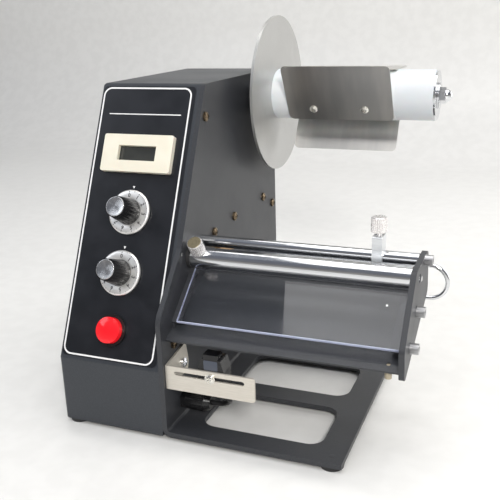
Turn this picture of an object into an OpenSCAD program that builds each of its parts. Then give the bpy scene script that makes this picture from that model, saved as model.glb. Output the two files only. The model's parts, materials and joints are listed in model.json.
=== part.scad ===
// Desk label dispenser: a control case with a sloping panel, a label spool on a side plate,
// a web path over two bars and a clear peel plate, and a motor-driven liner take-up shaft.
// X runs across the web to the right, Y to the back and Z up.
// The origin is under the middle of the machine, on the surface that it stands on.

/* [Case] */
// Width of the case with the side plate
case_w = 80.4; // [72:0.1:100]
// Depth of the case and of the base plate
case_d = 219.7; // [212:0.1:240]
// Height of the case top above the base plate
case_h = 218.5; // [212:0.5:235]
// Height of the upright front wall
skirt_h = 43; // [36:1:50]
// Depth over which the control panel slopes back
panel_run = 85; // [78:1:92]
// Thickness of the case sheet
sheet_t = 1.5; // [1:0.1:2]
// Rounding of the case edges
edge_r = 3; // [1.6:0.1:5]
// Width of the inner rim that the side plate screws hold
rim_w = 12; // [11:0.5:12.5]
// Height of the turned-up edges of the case floor
floor_lip_h = 10; // [6:1:14]

/* [Frame plate] */
// Thickness of the folded frame plate and of the outer plate
plate_t = 3.5; // [3:0.1:4]
// Inside radius of the fold
bend_r = 2; // [1:0.5:4]
// Reach of the base plate to the right
base_w = 118.5; // [112:0.5:125]
// Height at which the front edge turns back
nose_h = 79.2; // [78:0.2:82]
// Height at which the nose meets the control panel line
nose_top = 116; // [114:0.5:118]
// Left edge of the two base openings
base_open_x = 16.5; // [14:0.5:20]
// Width of the two base openings
base_open_w = 84.2; // [76:0.2:88]
// Depth of each base opening
base_open_d = 49.2; // [40:0.2:52]
// Front edges of the two base openings
base_open_y = [16.3, 82.4];
// Corner radius of the base openings
base_open_r = 10; // [4:1:14]

/* [Feet] */
// Radius of a rubber foot
foot_r = 8; // [6:0.5:8]
// Height of a rubber foot
foot_h = 3; // [2:0.5:6]
// Distance of the feet from the side edges
foot_inset = 8; // [8:0.5:10]

/* [Outer plate] */
// Gap between the side plate and the outer plate, the width of the web path
web_w = 150; // [146:1:156]

/* [Bars] */
// Depth position of the front bar
bar_y = 48.5; // [47:0.5:50]
// Height of the front bar
bar_z = 107.5; // [107:0.5:108]
// Radius of the front bar
bar_r = 7; // [6:0.1:7.4]
// Radius of the rubber ring round the left end of the front bar
ring_r = 7.8; // [7.6:0.1:9]
// Width of that ring
ring_w = 2.5; // [1.5:0.5:3]
// Depth position of the guide rod
rod_y = 67; // [66:0.5:68]
// Height of the guide rod
rod_z = 113.4; // [113:0.2:114]
// Radius of the guide rod
rod_r = 4; // [3.5:0.1:4.4]
// Distance of the lock screw from the side plate
lock_x = 8.2; // [8.2:0.1:12]
// Lean of the lock screw to the front
lock_lean = 37; // [25:1:45]

/* [Label guide] */
// Distance of the label guide from the side plate
guide_x = 124.2; // [60:0.1:140]
// Thickness of the label guide
guide_t = 6.5; // [5:0.5:8]
// Depth of the label guide along the web
guide_d = 12; // [11:0.5:12.5]
// Height of the label guide
guide_h = 16.7; // [14:0.1:20]
// Height of the guide block below the centre of its rod
guide_drop = 2.9; // [2:0.1:3.4]

/* [Thumbscrews] */
// Radius of a knurled head
knurl_r = 5.1; // [4:0.1:6]
// Height of a knurled head
knurl_h = 9.7; // [6:0.1:12]
// Ridges round a knurled head
knurl_n = 24; // [16:1:30]
// Radius of the smooth neck
neck_r = 1.95; // [1.5:0.05:2.4]
// Length of neck that shows under the guide screw's head
neck_h = 2.3; // [1:0.1:4]

/* [Peel plate and tray] */
// Depth position of the front edge of the clear plate
peel_y = 13.4; // [12:0.2:14]
// Height of the front edge of the clear plate
peel_z = 74.9; // [74:0.1:75.6]
// Slope of the clear plate
peel_angle = 39.3; // [38:0.1:40]
// Length of the clear plate up its slope
peel_len = 38.9; // [34:0.1:39.5]
// Thickness of the clear plate
peel_t = 3; // [2.5:0.1:3.4]
// Gap between the side plate and the clear plate
peel_gap = 4.5; // [2:0.5:6]
// Slope of the tray floor and of the outer plate's lower edge
tray_angle = 20.6; // [20:0.1:21]
// Depth position of the tray floor's front edge
tray_y = 6; // [5.6:0.1:6.4]
// Height of the tray floor at its front edge
tray_z = 64.3; // [64:0.1:64.6]
// Length of the tray floor up its slope
tray_len = 58; // [54:0.5:62]
// Depth position of the front edges of the tray's end walls
tray_wall_y = 16.5; // [16:0.1:17]
// Width of the ledges that carry the clear plate
ledge_w = 7; // [5:0.5:10]
// Radius of the tapered pin under the tray at its top
tray_pin_r = 2.7; // [2:0.1:3]
// Height of that pin
tray_pin_h = 7.5; // [5:0.5:8]

/* [Spool] */
// Depth position of the spool
spool_y = 192.5; // [180:0.5:198]
// Height of the spool
spool_z = 200.6; // [190:0.2:206]
// Radius of the spool disc
disc_r = 60; // [52:0.5:62]
// Thickness of the spool disc
disc_t = 2; // [1.5:0.1:3]
// Distance of the disc from the side plate
disc_x = 13; // [12:0.5:18]
// Radius of the nylon core
core_r = 19.1; // [17:0.1:21]
// Length of the nylon core
core_len = 123.6; // [112:0.1:130]
// Radius of the fixed spool shaft
shaft_r = 6; // [5:0.1:8]
// Length of the core's stepped nose, which a label roll slides on
nose_len = 28; // [24:0.5:28]
// Depth of the nose's step
nose_step = 0.3; // [0.2:0.05:0.5]
// Radius of the core's end plate
end_r = 18; // [15:0.5:18.5]
// Thickness of the core's end plate
end_t = 1.4; // [1:0.1:2]
// Radius of the end washer
washer_r = 9.7; // [8:0.1:12]

/* [Spring leaves] */
// Number of leaves round the core
leaf_n = 3; // [2:1:3]
// Length of a leaf along the core
leaf_len = 82; // [70:1:90]
// Distance of the leaves from the disc
leaf_gap = 13; // [6:0.5:18]
// Reach of a leaf's free edge past its screws
leaf_reach = 38; // [30:0.5:44]
// Reach of a leaf's held edge behind its screws
leaf_tail = 9.8; // [6:0.2:10]
// Thickness of a leaf
leaf_t = 0.7; // [0.5:0.1:1]
// Depth of the flat that each leaf lies on
leaf_flat = 0.3; // [0.2:0.05:0.6]
// Corner radius of a leaf
leaf_corner = 4; // [2:0.5:8]
// Turn of the first leaf from level
leaf_turn = -1; // [-20:1:20]

/* [Liner take-up] */
// Depth position of the take-up shaft
rewind_y = 98; // [98:0.5:101]
// Height of the take-up shaft
rewind_z = 88; // [86:0.5:89]
// Radius of the take-up shaft
rewind_r = 9.7; // [8:0.1:10]
// Length of the take-up shaft outside the side plate
rewind_len = 148; // [140:1:149]
// Wire radius of the liner clip
clip_wire_r = 1.5; // [1:0.1:1.8]
// Left end of the clip's legs
clip_start = 20; // [15:1:60]
// Where the clip's legs turn into its loop
clip_bend_x = 153; // [151:0.5:158]

/* [Drive] */
// Gear module
gear_module = 1; // [0.9:0.05:1]
// Teeth of the take-up gear
gear_teeth = 36; // [30:2:36]
// Teeth of the motor pinion
pinion_teeth = 18; // [16:2:20]
// Width of the take-up gear
gear_w = 8; // [6:0.5:9]
// Radius of the gearbox
gearbox_r = 18.5; // [16:0.5:20]
// Length of the gearbox
gearbox_len = 22; // [16:1:24]
// Radius of the motor
motor_r = 15; // [12:0.5:16]
// Length of the motor
motor_len = 20; // [14:1:22]
// Thickness of the drive plate
drive_t = 3; // [2:0.5:4]
// Gap between the side plate and the drive plate
drive_gap = 25.5; // [25:0.5:27]

/* [Control panel] */
// Inset of the panel film from the panel's edges
film_inset = 2.4; // [2:0.1:6]
// Thickness of the panel film
film_t = 0.4; // [0.2:0.1:0.8]
// Distance of the controls' centre line from the case's right side
control_x = 42; // [38:0.5:44]
// Position of the power button up the panel
button_v = 22.7; // [20:0.1:26]
// Position of the speed knob up the panel
speed_v = 61.5; // [58:0.5:64]
// Position of the length knob up the panel
length_v = 103.3; // [100:0.1:106]
// Position of the counter up the panel
counter_v = 143.9; // [140:0.1:150]

/* [Counter] */
// Width of the counter bezel
counter_w = 53.4; // [50:0.2:58]
// Height of the counter bezel
counter_h = 26.2; // [24:0.2:29]
// How far the bezel stands out of the film
counter_t = 4; // [2.5:0.5:6]
// Width of the counter window
window_w = 29; // [20:0.5:36]
// Height of the counter window
window_h = 10.5; // [8:0.5:14]
// Depth of the counter body behind the panel
counter_body_d = 34; // [20:1:36]

/* [Knobs] */
// Radius of the dial skirt
dial_r = 15.5; // [12:0.1:16]
// Thickness of the dial skirt
dial_t = 2; // [1.5:0.1:3]
// Radius of the knob at its foot
knob_foot_r = 9; // [8:0.1:10]
// Radius of the knob at its top
knob_top_r = 7.3; // [6:0.1:7.5]
// Height of the knob above the film
knob_h = 20; // [17:0.5:22]
// Radius of the cap on the knob
knob_cap_r = 6.6; // [5:0.1:7]
// Grip flutes round the knob
knob_flutes = 20; // [12:1:24]
// Radius of the control's spindle
spindle_r = 3; // [2.5:0.1:3.2]

/* [Power button] */
// Radius of the red cap
button_r = 8.75; // [7:0.05:9.5]
// Height of the cap's crown above the film
button_h = 8; // [6:0.5:10]
// Radius of the bezel ring
bezel_r = 11; // [10.8:0.1:13]
// Height of the bezel ring
bezel_h = 2.4; // [1.5:0.1:2.8]
// Travel of the button
button_travel = 3; // [1:0.5:3.5]

/* [Sensor] */
// Thickness of the sensor bracket
bracket_t = 1.5; // [1:0.1:2]
// Length of the slotted front plate
bracket_w = 62.3; // [56:0.1:66]
// Depth position of the slotted front plate
bracket_y = 2.6; // [2:0.1:4]
// Lower edge of the slotted front plate
bracket_z = 30.9; // [29:0.1:33]
// Height of the slotted front plate
bracket_h = 16.7; // [15:0.1:18]
// Depth position of the bracket's pivot screw
pivot_y = 25.3; // [22:0.1:26]
// Height of the bracket's pivot screw
pivot_z = 39.6; // [38:0.1:41]
// Width of the sensor slot
slot_w = 2.8; // [2.7:0.1:3.6]
// Left end of the sensor slot
slot_x = 6.6; // [5:0.1:8]
// Length of the sensor slot
slot_len = 48.7; // [44:0.1:50]
// Drop of the slot below the plate's upper edge
slot_drop = 4.6; // [4:0.1:6]
// Distance of the sensor from the side plate
sensor_x = 32; // [30:0.1:34]
// Width of the sensor body at its foot
sensor_w = 18; // [16:0.2:18.6]
// Width of the sensor body at its top
sensor_top_w = 13; // [12:0.2:14]
// Depth of the sensor body
sensor_d = 12; // [9:0.2:12.4]
// Height of the sensor body's foot
sensor_foot_z = 33; // [32:0.2:34]
// Height at which the sensor body's shoulders start
sensor_shoulder_z = 47.6; // [46:0.2:49]
// Height of the top of the sensor body
sensor_top_z = 55.6; // [54:0.2:56.4]
// Height of the lens block on the sensor body
lens_h = 3.2; // [2:0.1:3.4]

/* [Fixings and fits] */
// Radius of a screw's shank
screw_r = 1.95; // [1.5:0.05:2]
// Radius of a screw's head
screw_head_r = 3.4; // [3:0.1:3.6]
// Height of a cap screw's head
screw_head_h = 5; // [3:0.1:5.4]
// Height of a round screw head
round_head_h = 2.4; // [1.6:0.1:2.8]
// Clearance of a turning or sliding fit
run_fit = 0.05; // [0.02:0.01:0.1]
// Gap between parts that pass each other
part_gap = 0.3; // [0.2:0.05:0.4]

/* [Hidden] */
$fn = 64;
hull_fn = 32;
eps = 0.01;
inner_x = -plate_t;
left_x = -case_w;
panel_angle = atan2(case_h - skirt_h, panel_run);
panel_len = norm([panel_run, case_h - skirt_h]);
disc_end = disc_x + disc_t;
core_end = disc_end + core_len;
end_face = core_end + end_t;
floor_top = sheet_t - plate_t;
tapped_r = screw_r + run_fit;
clip_leg_r = rewind_r + clip_wire_r + part_gap;
clip_right = clip_bend_x + clip_leg_r + clip_wire_r;
motor_y = rewind_y + gear_module * (gear_teeth + pinion_teeth) / 2;
foot_back_y = case_d - foot_inset;
outer_x = web_w + plate_t;
slot_z = bracket_z + bracket_h - slot_drop;
gland_thread_r = 4;
gland_r = 6.8;
gland_len = 21;
cable_r = 1.8;
sleeve_r = 11;
sleeve_end = inner_x - 6.5;
journal_r = 7;
shaft_head_r = shaft_r * 1.6;
boss_r = 15;
felt_r = 17;
felt_t = 2;
hub_len = 3;
flange_t = 4;
gear_right = sleeve_end - 2;
foot_stud_r = 2;
counter_body_w = window_w + 19;
counter_body_h = window_h + 11.5;
button_body_r = button_r + 1.2;
bush_r = 4.5;
nut_r = 6;
nut_h = 1.8;
control_r = 8.5;
control_d = 10;
dial_lift = 0.6;
inlet_r = 5.5;
spigot_r = 3;
tray_pin_stem_r = 1.2;
seat_gap = 0.02;
stub_r = 3;
leaf_screw_r = 1.45;
leaf_screws_at = [20.7, 60.5];
sensor_screw_r = 1.3;
lens_size = [10, 8];
board_size = [50, 70, 1.6];
board_inset = 19.7;
board_at = [-68, case_d - board_inset - board_size[1]];
post_h = 6;

// Places on the side plate as [y, z]
cover_screws_at = [[82.2, case_h - 21.7], [16.3, 57.1], [case_d - 9.3, 105.4]];
drive_screws_at = [[88.5, 113.2], [126.1, 115.2], [188.6, 115.6]];
tray_screws_at = [[42.2, 88.5], [22.7, 72.9]];
gland_at = [27, 11.5];
inlet_at = [-58, 22];
// Place of the pin under the tray as [x, y]
tray_pin_at = [143.1, 11.5];
// Corners of the outer plate as [y, z, radius]
outer_outline = [[6.3, 57.6, 3], [3.5, 78.3, 4], [37, 115.3, 6], [81, 116.5, 6], [84.5, 87, 6]];

// Route of the sensor's lead, from the gland to the sensor's foot
lead_route = [
    [18, 27, 11.5], [23, 27, 11.5], [29, 27, 12], [34, 25, 15], [37, 21, 19.5],
    [36.6, 16.5, 23.5], [34.2, 12.4, 26.3], [32.2, 10.3, 29.4], [32, 10.2, 33.4]
];
lead_end = lead_route[len(lead_route) - 1];
lead_sides = 8;
lead_steps = 2;

home = [-(left_x + clip_right) / 2, -(spool_y + disc_r) / 2, plate_t + foot_h];

// ---------- helpers ----------

// Depth position of the panel line at a height
function panel_y(z) = (z - skirt_h) / tan(panel_angle);

// Arc that rounds corner b between a and c with radius r
function corner_arc(a, b, c, r, steps = 6) =
    let(
        to_a = (a - b) / norm(a - b),
        to_c = (c - b) / norm(c - b),
        half = acos(to_a * to_c) / 2,
        centre = b + (to_a + to_c) / norm(to_a + to_c) * r / sin(half),
        from = b + to_a * r / tan(half) - centre,
        to = b + to_c * r / tan(half) - centre,
        start = atan2(from[1], from[0]),
        sweep = (atan2(to[1], to[0]) - start + 540) % 360 - 180
    )
    [for (i = [0:steps]) centre + r * [cos(start + sweep * i / steps), sin(start + sweep * i / steps)]];

// Outline through corners given as [u, v, radius]; a radius of 0 keeps a corner sharp
function rounded(corners) =
    let(n = len(corners))
    [
        for (i = [0:n - 1])
        let(b = corners[i], a = corners[(i + n - 1) % n], c = corners[(i + 1) % n])
        each b[2] == 0 ? [[b[0], b[1]]]
            : corner_arc([a[0], a[1]], [b[0], b[1]], [c[0], c[1]], b[2])
    ];

// Corners of a w by h rectangle at [u, v] with one corner radius
function box_corners(u, v, w, h, r) =
    [[u, v, r], [u + w, v, r], [u + w, v + h, r], [u, v + h, r]];

// Points of a line that starts at [y, z] and climbs at an angle
function climb(y, z, angle, run) = [y + run * cos(angle), z + run * sin(angle)];

module at_home() {
    translate(home) children();
}

// A [y, z] outline extruded from x0 to x1
module across(x0, x1) {
    translate([x0, 0, 0]) rotate([90, 0, 90]) linear_extrude(x1 - x0) children();
}

// A round bar along X
module bar_x(r, x0, x1, y, z) {
    translate([x0, y, z]) rotate([0, 90, 0]) cylinder(r = r, h = x1 - x0);
}

// Places its child on the panel, with Z out of it and Y up it
module on_panel(x, v, out = 0) {
    translate([x, 0, skirt_h]) rotate([panel_angle, 0, 0]) translate([0, v, out]) children();
}

// Places its child at [y, z] on a plate, with Z to the right
module facing_right(x, at) {
    translate([x, at[0], at[1]]) rotate([0, 90, 0]) children();
}

// Places its child at [y, z] on a plate, with Z to the left
module facing_left(x, at) {
    translate([x, at[0], at[1]]) rotate([0, -90, 0]) children();
}

// Socket-head screw that points down, its head on Z = 0
module cap_screw(shank) {
    difference() {
        union() {
            cylinder(r = screw_head_r, h = screw_head_h);
            translate([0, 0, -shank]) cylinder(r = screw_r, h = shank + eps);
        }
        translate([0, 0, screw_head_h / 2]) cylinder(r = screw_r * 0.9, h = screw_head_h, $fn = 6);
    }
}

// Round-headed screw that points down, with a cross slot
module pan_screw(head_r, head_h, shank_r, shank) {
    slot = head_r / 4;
    difference() {
        union() {
            intersection() {
                cylinder(r = head_r, h = head_h);
                translate([0, 0, head_h - head_r * 1.6]) sphere(r = head_r * 1.6);
            }
            translate([0, 0, -shank]) cylinder(r = shank_r, h = shank + eps);
        }
        for (turn = [0, 90]) {
            rotate(turn) translate([-head_r * 0.6, -slot / 2, head_h - slot])
                cube([head_r * 1.2, slot, head_h]);
        }
    }
}

// Outline of a knurled head
function knurl_outline(r, ridges, depth = 0.35) =
    [for (i = [0:2 * ridges - 1]) (r - (i % 2) * depth) * [cos(180 * i / ridges), sin(180 * i / ridges)]];

// Thumbscrew that points down: a knurled head from neck up, on a smooth neck
module thumbscrew(neck, shank) {
    crown_h = 1;
    translate([0, 0, neck]) linear_extrude(knurl_h - crown_h) polygon(knurl_outline(knurl_r, knurl_n));
    translate([0, 0, neck + knurl_h - crown_h]) cylinder(r1 = knurl_r - 0.4, r2 = knurl_r - 1.2, h = crown_h);
    translate([0, 0, -shank]) cylinder(r = neck_r, h = shank + neck + eps);
}

// Involute of the base circle, as an angle
function involute(base_r, r) = let(a = acos(min(1, base_r / r))) tan(a) * 180 / PI - a;

// Outline of a spur gear with its first tooth on the U axis
function gear_outline(teeth, backlash = 0.12, steps = 4) =
    let(
        pitch_r = gear_module * teeth / 2,
        base_r = pitch_r * cos(20),
        root_r = pitch_r - 1.25 * gear_module,
        tip_r = pitch_r + gear_module,
        low_r = max(base_r, root_r),
        slack = backlash / 2 / pitch_r * 180 / PI,
        half = 90 / teeth + involute(base_r, pitch_r) - slack,
        flank = [
            for (i = [0:steps])
            let(r = low_r + (tip_r - low_r) * i / steps)
            [r, half - involute(base_r, r)]
        ],
        side = low_r > root_r ? concat([[root_r, flank[0][1]]], flank) : flank,
        last = len(side) - 1,
        tooth = concat(
            [for (p = side) [p[0], -p[1]]],
            [for (i = [0:last]) side[last - i]]
        )
    )
    [for (k = [0:teeth - 1]) for (p = tooth) p[0] * [cos(360 * k / teeth + p[1]), sin(360 * k / teeth + p[1])]];

// Outline of the case seen from the side, drawn in by an inset
function case_outline(inset, bottom) = [
    [inset, bottom],
    [inset, skirt_h - inset * tan((90 - panel_angle) / 2)],
    [panel_run + inset * tan(panel_angle / 2), case_h - inset],
    [case_d - inset, case_h - inset],
    [case_d - inset, bottom]
];

// A w by h block from z0 to z1, centred on its place
module block(w, h, z0, z1) {
    translate([-w / 2, -h / 2, z0]) cube([w, h, z1 - z0]);
}

// ---------- frame ----------

// Side plate and base plate, folded from one sheet
module frame_plate() {
    fold_r = bend_r + plate_t;
    side = [
        [0, bend_r, 0],
        [0, nose_h, 12],
        [panel_y(nose_top), nose_top, 8],
        [panel_run, case_h, edge_r],
        [case_d, case_h, edge_r],
        [case_d, bend_r, 0]
    ];
    fold = [
        [0, 0, fold_r],
        [base_w + plate_t, 0, 0],
        [base_w + plate_t, plate_t, 0],
        [plate_t, plate_t, bend_r],
        [plate_t, fold_r, 0],
        [0, fold_r, 0]
    ];
    bolts_at = concat(cover_screws_at, drive_screws_at, tray_screws_at,
        [[bar_y, bar_z], [rod_y, rod_z], [pivot_y, pivot_z]]);
    color([0.3, 0.3, 0.3]) at_home() difference() {
        union() {
            across(inner_x, 0) polygon(rounded(side));
            translate([inner_x, case_d, -plate_t]) rotate([90, 0, 0]) linear_extrude(case_d) polygon(rounded(fold));
        }
        for (y = base_open_y) {
            translate([0, 0, -plate_t - 1]) linear_extrude(plate_t + 2)
                polygon(rounded(box_corners(base_open_x, y, base_open_w, base_open_d, base_open_r)));
        }
        for (at = bolts_at) {
            bar_x(tapped_r, inner_x - 1, 1, at[0], at[1]);
        }
        bar_x(gland_thread_r + run_fit, inner_x - 1, 1, gland_at[0], gland_at[1]);
        bar_x(shaft_r + run_fit, inner_x - 1, 1, spool_y, spool_z);
        bar_x(sleeve_r + run_fit, inner_x - 1, 1, rewind_y, rewind_z);
        for (y = [foot_inset, foot_back_y]) {
            translate([base_w - foot_inset, y, -plate_t - 1]) cylinder(r = foot_stud_r + run_fit, h = plate_t + 2);
        }
    }
}

// Folded sheet cover of the case, open below and closed on the right by the side plate
module case_cover() {
    color([0.32, 0.33, 0.36]) at_home() difference() {
        hull() {
            for (p = case_outline(edge_r, floor_top - edge_r)) {
                translate([left_x + edge_r, p[0], p[1]]) sphere(r = edge_r, $fn = hull_fn);
                translate([inner_x - 1, p[0], p[1]]) rotate([0, 90, 0]) cylinder(r = edge_r, h = 1, $fn = hull_fn);
            }
        }
        translate([left_x - 1, -1, floor_top - 3 * edge_r]) cube([case_w + 2, case_d + 2, 3 * edge_r]);
        across(left_x + sheet_t, inner_x - sheet_t) polygon(case_outline(sheet_t, floor_top - 1));
        across(inner_x - sheet_t - 1, inner_x + 1) polygon(case_outline(rim_w, floor_top - 1));
        on_panel(-control_x, counter_v) block(counter_body_w + 0.2, counter_body_h + 0.2, -2 * sheet_t, sheet_t);
        on_panel(-control_x, button_v, -2 * sheet_t) cylinder(r = button_body_r + run_fit, h = 3 * sheet_t);
        for (v = [speed_v, length_v]) {
            on_panel(-control_x, v, -2 * sheet_t) cylinder(r = bush_r + run_fit, h = 3 * sheet_t);
        }
        for (at = cover_screws_at) {
            bar_x(tapped_r, inner_x - sheet_t - 1, inner_x + 1, at[0], at[1]);
        }
        for (at = concat(tray_screws_at, [[bar_y, bar_z], [rod_y, rod_z]])) {
            bar_x(screw_head_r + part_gap, inner_x - sheet_t - 1, inner_x + 1, at[0], at[1]);
        }
        bar_x(shaft_head_r + part_gap, inner_x - sheet_t - 1, inner_x + 1, spool_y, spool_z);
        translate([inlet_at[0], case_d + 1, inlet_at[1]]) rotate([90, 0, 0])
            cylinder(r = inlet_r + run_fit, h = sheet_t + 2);
    }
}

// Floor of the case, with edges turned up inside the cover
module case_floor() {
    lip_x = left_x + sheet_t + run_fit;
    lip_w = inner_x - 2 * sheet_t - lip_x;
    color([0.3, 0.31, 0.34]) at_home() difference() {
        union() {
            translate([0, 0, -plate_t]) linear_extrude(sheet_t)
                polygon(rounded([[left_x, 0, edge_r], [inner_x - run_fit, 0, 0],
                    [inner_x - run_fit, case_d, 0], [left_x, case_d, edge_r]]));
            for (y = [sheet_t + run_fit, case_d - 2 * sheet_t - run_fit]) {
                translate([lip_x, y, floor_top - eps]) cube([lip_w, sheet_t, floor_lip_h]);
            }
        }
        for (y = [foot_inset, foot_back_y]) {
            translate([left_x + foot_inset, y, -plate_t - 1]) cylinder(r = foot_stud_r + run_fit, h = sheet_t + 2);
        }
    }
}

// Plate that carries the right ends of the bars and of the tray
module outer_plate() {
    color([0.2, 0.2, 0.21]) at_home() difference() {
        across(web_w, outer_x) polygon(rounded(outer_outline));
        for (at = concat(tray_screws_at, [[rod_y, rod_z]])) {
            bar_x(tapped_r, web_w - 1, outer_x + 1, at[0], at[1]);
        }
        bar_x(spigot_r + run_fit, web_w - 1, outer_x + 1, bar_y, bar_z);
    }
}

// Rubber feet, each with a stud through its plate
module feet() {
    color([0.08, 0.08, 0.08]) at_home()
    for (x = [left_x + foot_inset, base_w - foot_inset], y = [foot_inset, foot_back_y]) {
        translate([x, y, -plate_t - foot_h]) {
            cylinder(r1 = foot_r * 0.92, r2 = foot_r, h = foot_h);
            translate([0, 0, foot_h - eps]) cylinder(r = foot_stud_r, h = sheet_t);
        }
    }
}

// ---------- fixings ----------

// Round-headed screws on the side plate: three hold the cover, three the drive posts
module side_screws() {
    color([0.75, 0.68, 0.5]) at_home() {
        for (at = cover_screws_at) {
            facing_right(0, at) pan_screw(screw_head_r, round_head_h, screw_r, plate_t + sheet_t + 2);
        }
        for (at = drive_screws_at) {
            facing_right(0, at) pan_screw(screw_head_r, round_head_h, screw_r, plate_t + 5);
        }
    }
}

// Cap screws inside the case that hold the bars and the tray
module inner_screws() {
    color([0.2, 0.2, 0.2]) at_home() {
        for (at = [[bar_y, bar_z], [rod_y, rod_z]]) {
            facing_left(inner_x, at) cap_screw(plate_t + 9);
        }
        for (at = tray_screws_at) {
            facing_left(inner_x, at) cap_screw(plate_t + 2 * sheet_t);
        }
    }
}

// Cap screws on the outer plate
module outer_screws() {
    color([0.2, 0.2, 0.2]) at_home() {
        facing_right(outer_x, [rod_y, rod_z]) cap_screw(plate_t + 9);
        for (at = tray_screws_at) {
            facing_right(outer_x, at) cap_screw(plate_t + 2 * sheet_t);
        }
    }
}

// ---------- bars, guide and peel plate ----------

// Chrome bar that the web runs under
module front_bar() {
    shoulder = 0.8;
    color("silver") at_home() difference() {
        union() {
            bar_x(bar_r, 0, web_w - shoulder, bar_y, bar_z);
            bar_x(spigot_r, web_w - shoulder - eps, outer_x - 0.4, bar_y, bar_z);
        }
        bar_x(tapped_r, -1, 10, bar_y, bar_z);
        translate([outer_x - 1.2, bar_y, bar_z]) rotate([0, 90, 0]) cylinder(r1 = 0.2, r2 = 1.4, h = 1);
        translate([lock_x, bar_y, bar_z]) rotate([lock_lean, 0, 0]) cylinder(r = neck_r + run_fit, h = bar_r + 1);
    }
}

// Rubber ring round the left end of the front bar
module bar_ring() {
    color([0.05, 0.05, 0.05]) at_home() difference() {
        bar_x(ring_r, 0, ring_w, bar_y, bar_z);
        bar_x(bar_r + 0.02, -1, ring_w + 1, bar_y, bar_z);
    }
}

// Knurled screw that locks the front bar
module lock_screw() {
    color("silver") at_home() translate([lock_x, bar_y, bar_z]) rotate([lock_lean, 0, 0])
        translate([0, 0, bar_r]) thumbscrew(0.2, bar_r / 2);
}

// Chrome rod that the label guide slides on
module guide_rod() {
    color("silver") at_home() difference() {
        bar_x(rod_r, 0, web_w, rod_y, rod_z);
        bar_x(tapped_r, -1, 10, rod_y, rod_z);
        bar_x(tapped_r, web_w - 10, web_w + 1, rod_y, rod_z);
    }
}

// Block that sits astride the guide rod and keeps the web's edge
module label_guide() {
    guide_z = rod_z - guide_drop;
    color([0.12, 0.12, 0.13]) at_home() difference() {
        across(guide_x - guide_t / 2, guide_x + guide_t / 2) difference() {
            polygon(rounded(box_corners(rod_y - guide_d / 2, guide_z, guide_d, guide_h, 1)));
            translate([rod_y, rod_z]) circle(r = rod_r + run_fit);
        }
        translate([guide_x, rod_y, rod_z]) cylinder(r = neck_r + run_fit, h = guide_h);
    }
}

// Knurled screw that locks the label guide on its rod
module guide_screw() {
    top = rod_z - guide_drop + guide_h;
    color("silver") at_home() translate([guide_x, rod_y, top])
        thumbscrew(neck_h, top - rod_z - rod_r - 0.15);
}

// Clear sloping plate; labels peel off at its front edge
module peel_plate() {
    color([0.6, 0.65, 0.7, 0.5]) at_home() translate([peel_gap, peel_y, peel_z]) rotate([peel_angle, 0, 0])
        translate([0, 0, -peel_t]) cube([web_w - peel_gap - 1, peel_len, peel_t]);
}

// Places its child in the tray's floor, with Y up its slope and Z = 0 on its upper face
module in_tray() {
    translate([0, tray_y, tray_z]) rotate([tray_angle, 0, 0]) children();
}

// Folded sheet under the peel plate, with end walls and ledges that carry it
module tray() {
    half = sheet_t / 2;
    under = peel_t + seat_gap;
    low = [peel_y + under * sin(peel_angle), peel_z - under * cos(peel_angle)];
    ledge_start = (tray_wall_y - low[0]) / cos(peel_angle) - 1;
    ledge_end = peel_len - 1;
    seat_end = climb(low[0] + half * sin(peel_angle), low[1] - half * cos(peel_angle), peel_angle, ledge_end - half);
    floor_end = climb(tray_y, tray_z, tray_angle, tray_len);
    end_wall = [
        [tray_wall_y, tray_z + (tray_wall_y - tray_y) * tan(tray_angle) - half, 0],
        [tray_wall_y, low[1] + (tray_wall_y - low[0]) * tan(peel_angle) - half / cos(peel_angle), 0],
        [seat_end[0], seat_end[1], 0],
        [seat_end[0] + 8, seat_end[1] - 6, 3],
        [floor_end[0], floor_end[1] - half, 0]
    ];
    color([0.1, 0.1, 0.11]) at_home() difference() {
        union() {
            in_tray() translate([0, 0, -sheet_t]) cube([web_w, tray_len, sheet_t]);
            for (x = [0, web_w - sheet_t]) {
                across(x, x + sheet_t) polygon(rounded(end_wall));
            }
            for (x = [0, web_w - ledge_w]) {
                translate([x, low[0], low[1]]) rotate([peel_angle, 0, 0])
                    translate([0, ledge_start, -sheet_t]) cube([ledge_w, ledge_end - ledge_start, sheet_t]);
            }
        }
        for (at = tray_screws_at) {
            bar_x(tapped_r, -1, web_w + 1, at[0], at[1]);
        }
        tray_pin_hole();
    }
}

module tray_pin_hole() {
    translate([tray_pin_at[0], tray_pin_at[1], tray_z - 2 * sheet_t])
        cylinder(r = tray_pin_stem_r + run_fit, h = 6 * sheet_t);
}

// Tapered pin under the tray's right end, its stem in the tray's floor
module tray_pin() {
    floor_z = tray_z + (tray_pin_at[1] - tray_y) * tan(tray_angle);
    color([0.7, 0.6, 0.4]) at_home() difference() {
        translate([tray_pin_at[0], tray_pin_at[1], floor_z - sheet_t - tray_pin_h]) {
            cylinder(r1 = tray_pin_r * 0.75, r2 = tray_pin_r, h = tray_pin_h + sheet_t);
        }
        difference() {
            in_tray() translate([0, -10, -sheet_t - 0.02]) cube([web_w, tray_len, 4 * sheet_t]);
            translate([tray_pin_at[0], tray_pin_at[1], 0]) cylinder(r = tray_pin_stem_r, h = floor_z - 0.3);
        }
    }
}

// ---------- spool ----------

// Fixed shaft with its head inside the case and a threaded end
module spool_shaft() {
    color([0.6, 0.6, 0.6]) at_home() {
        bar_x(shaft_head_r, inner_x - 4, inner_x, spool_y, spool_z);
        bar_x(shaft_r, inner_x - eps, end_face + 0.1, spool_y, spool_z);
        bar_x(stub_r, end_face, end_face + 6, spool_y, spool_z);
    }
}

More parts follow.
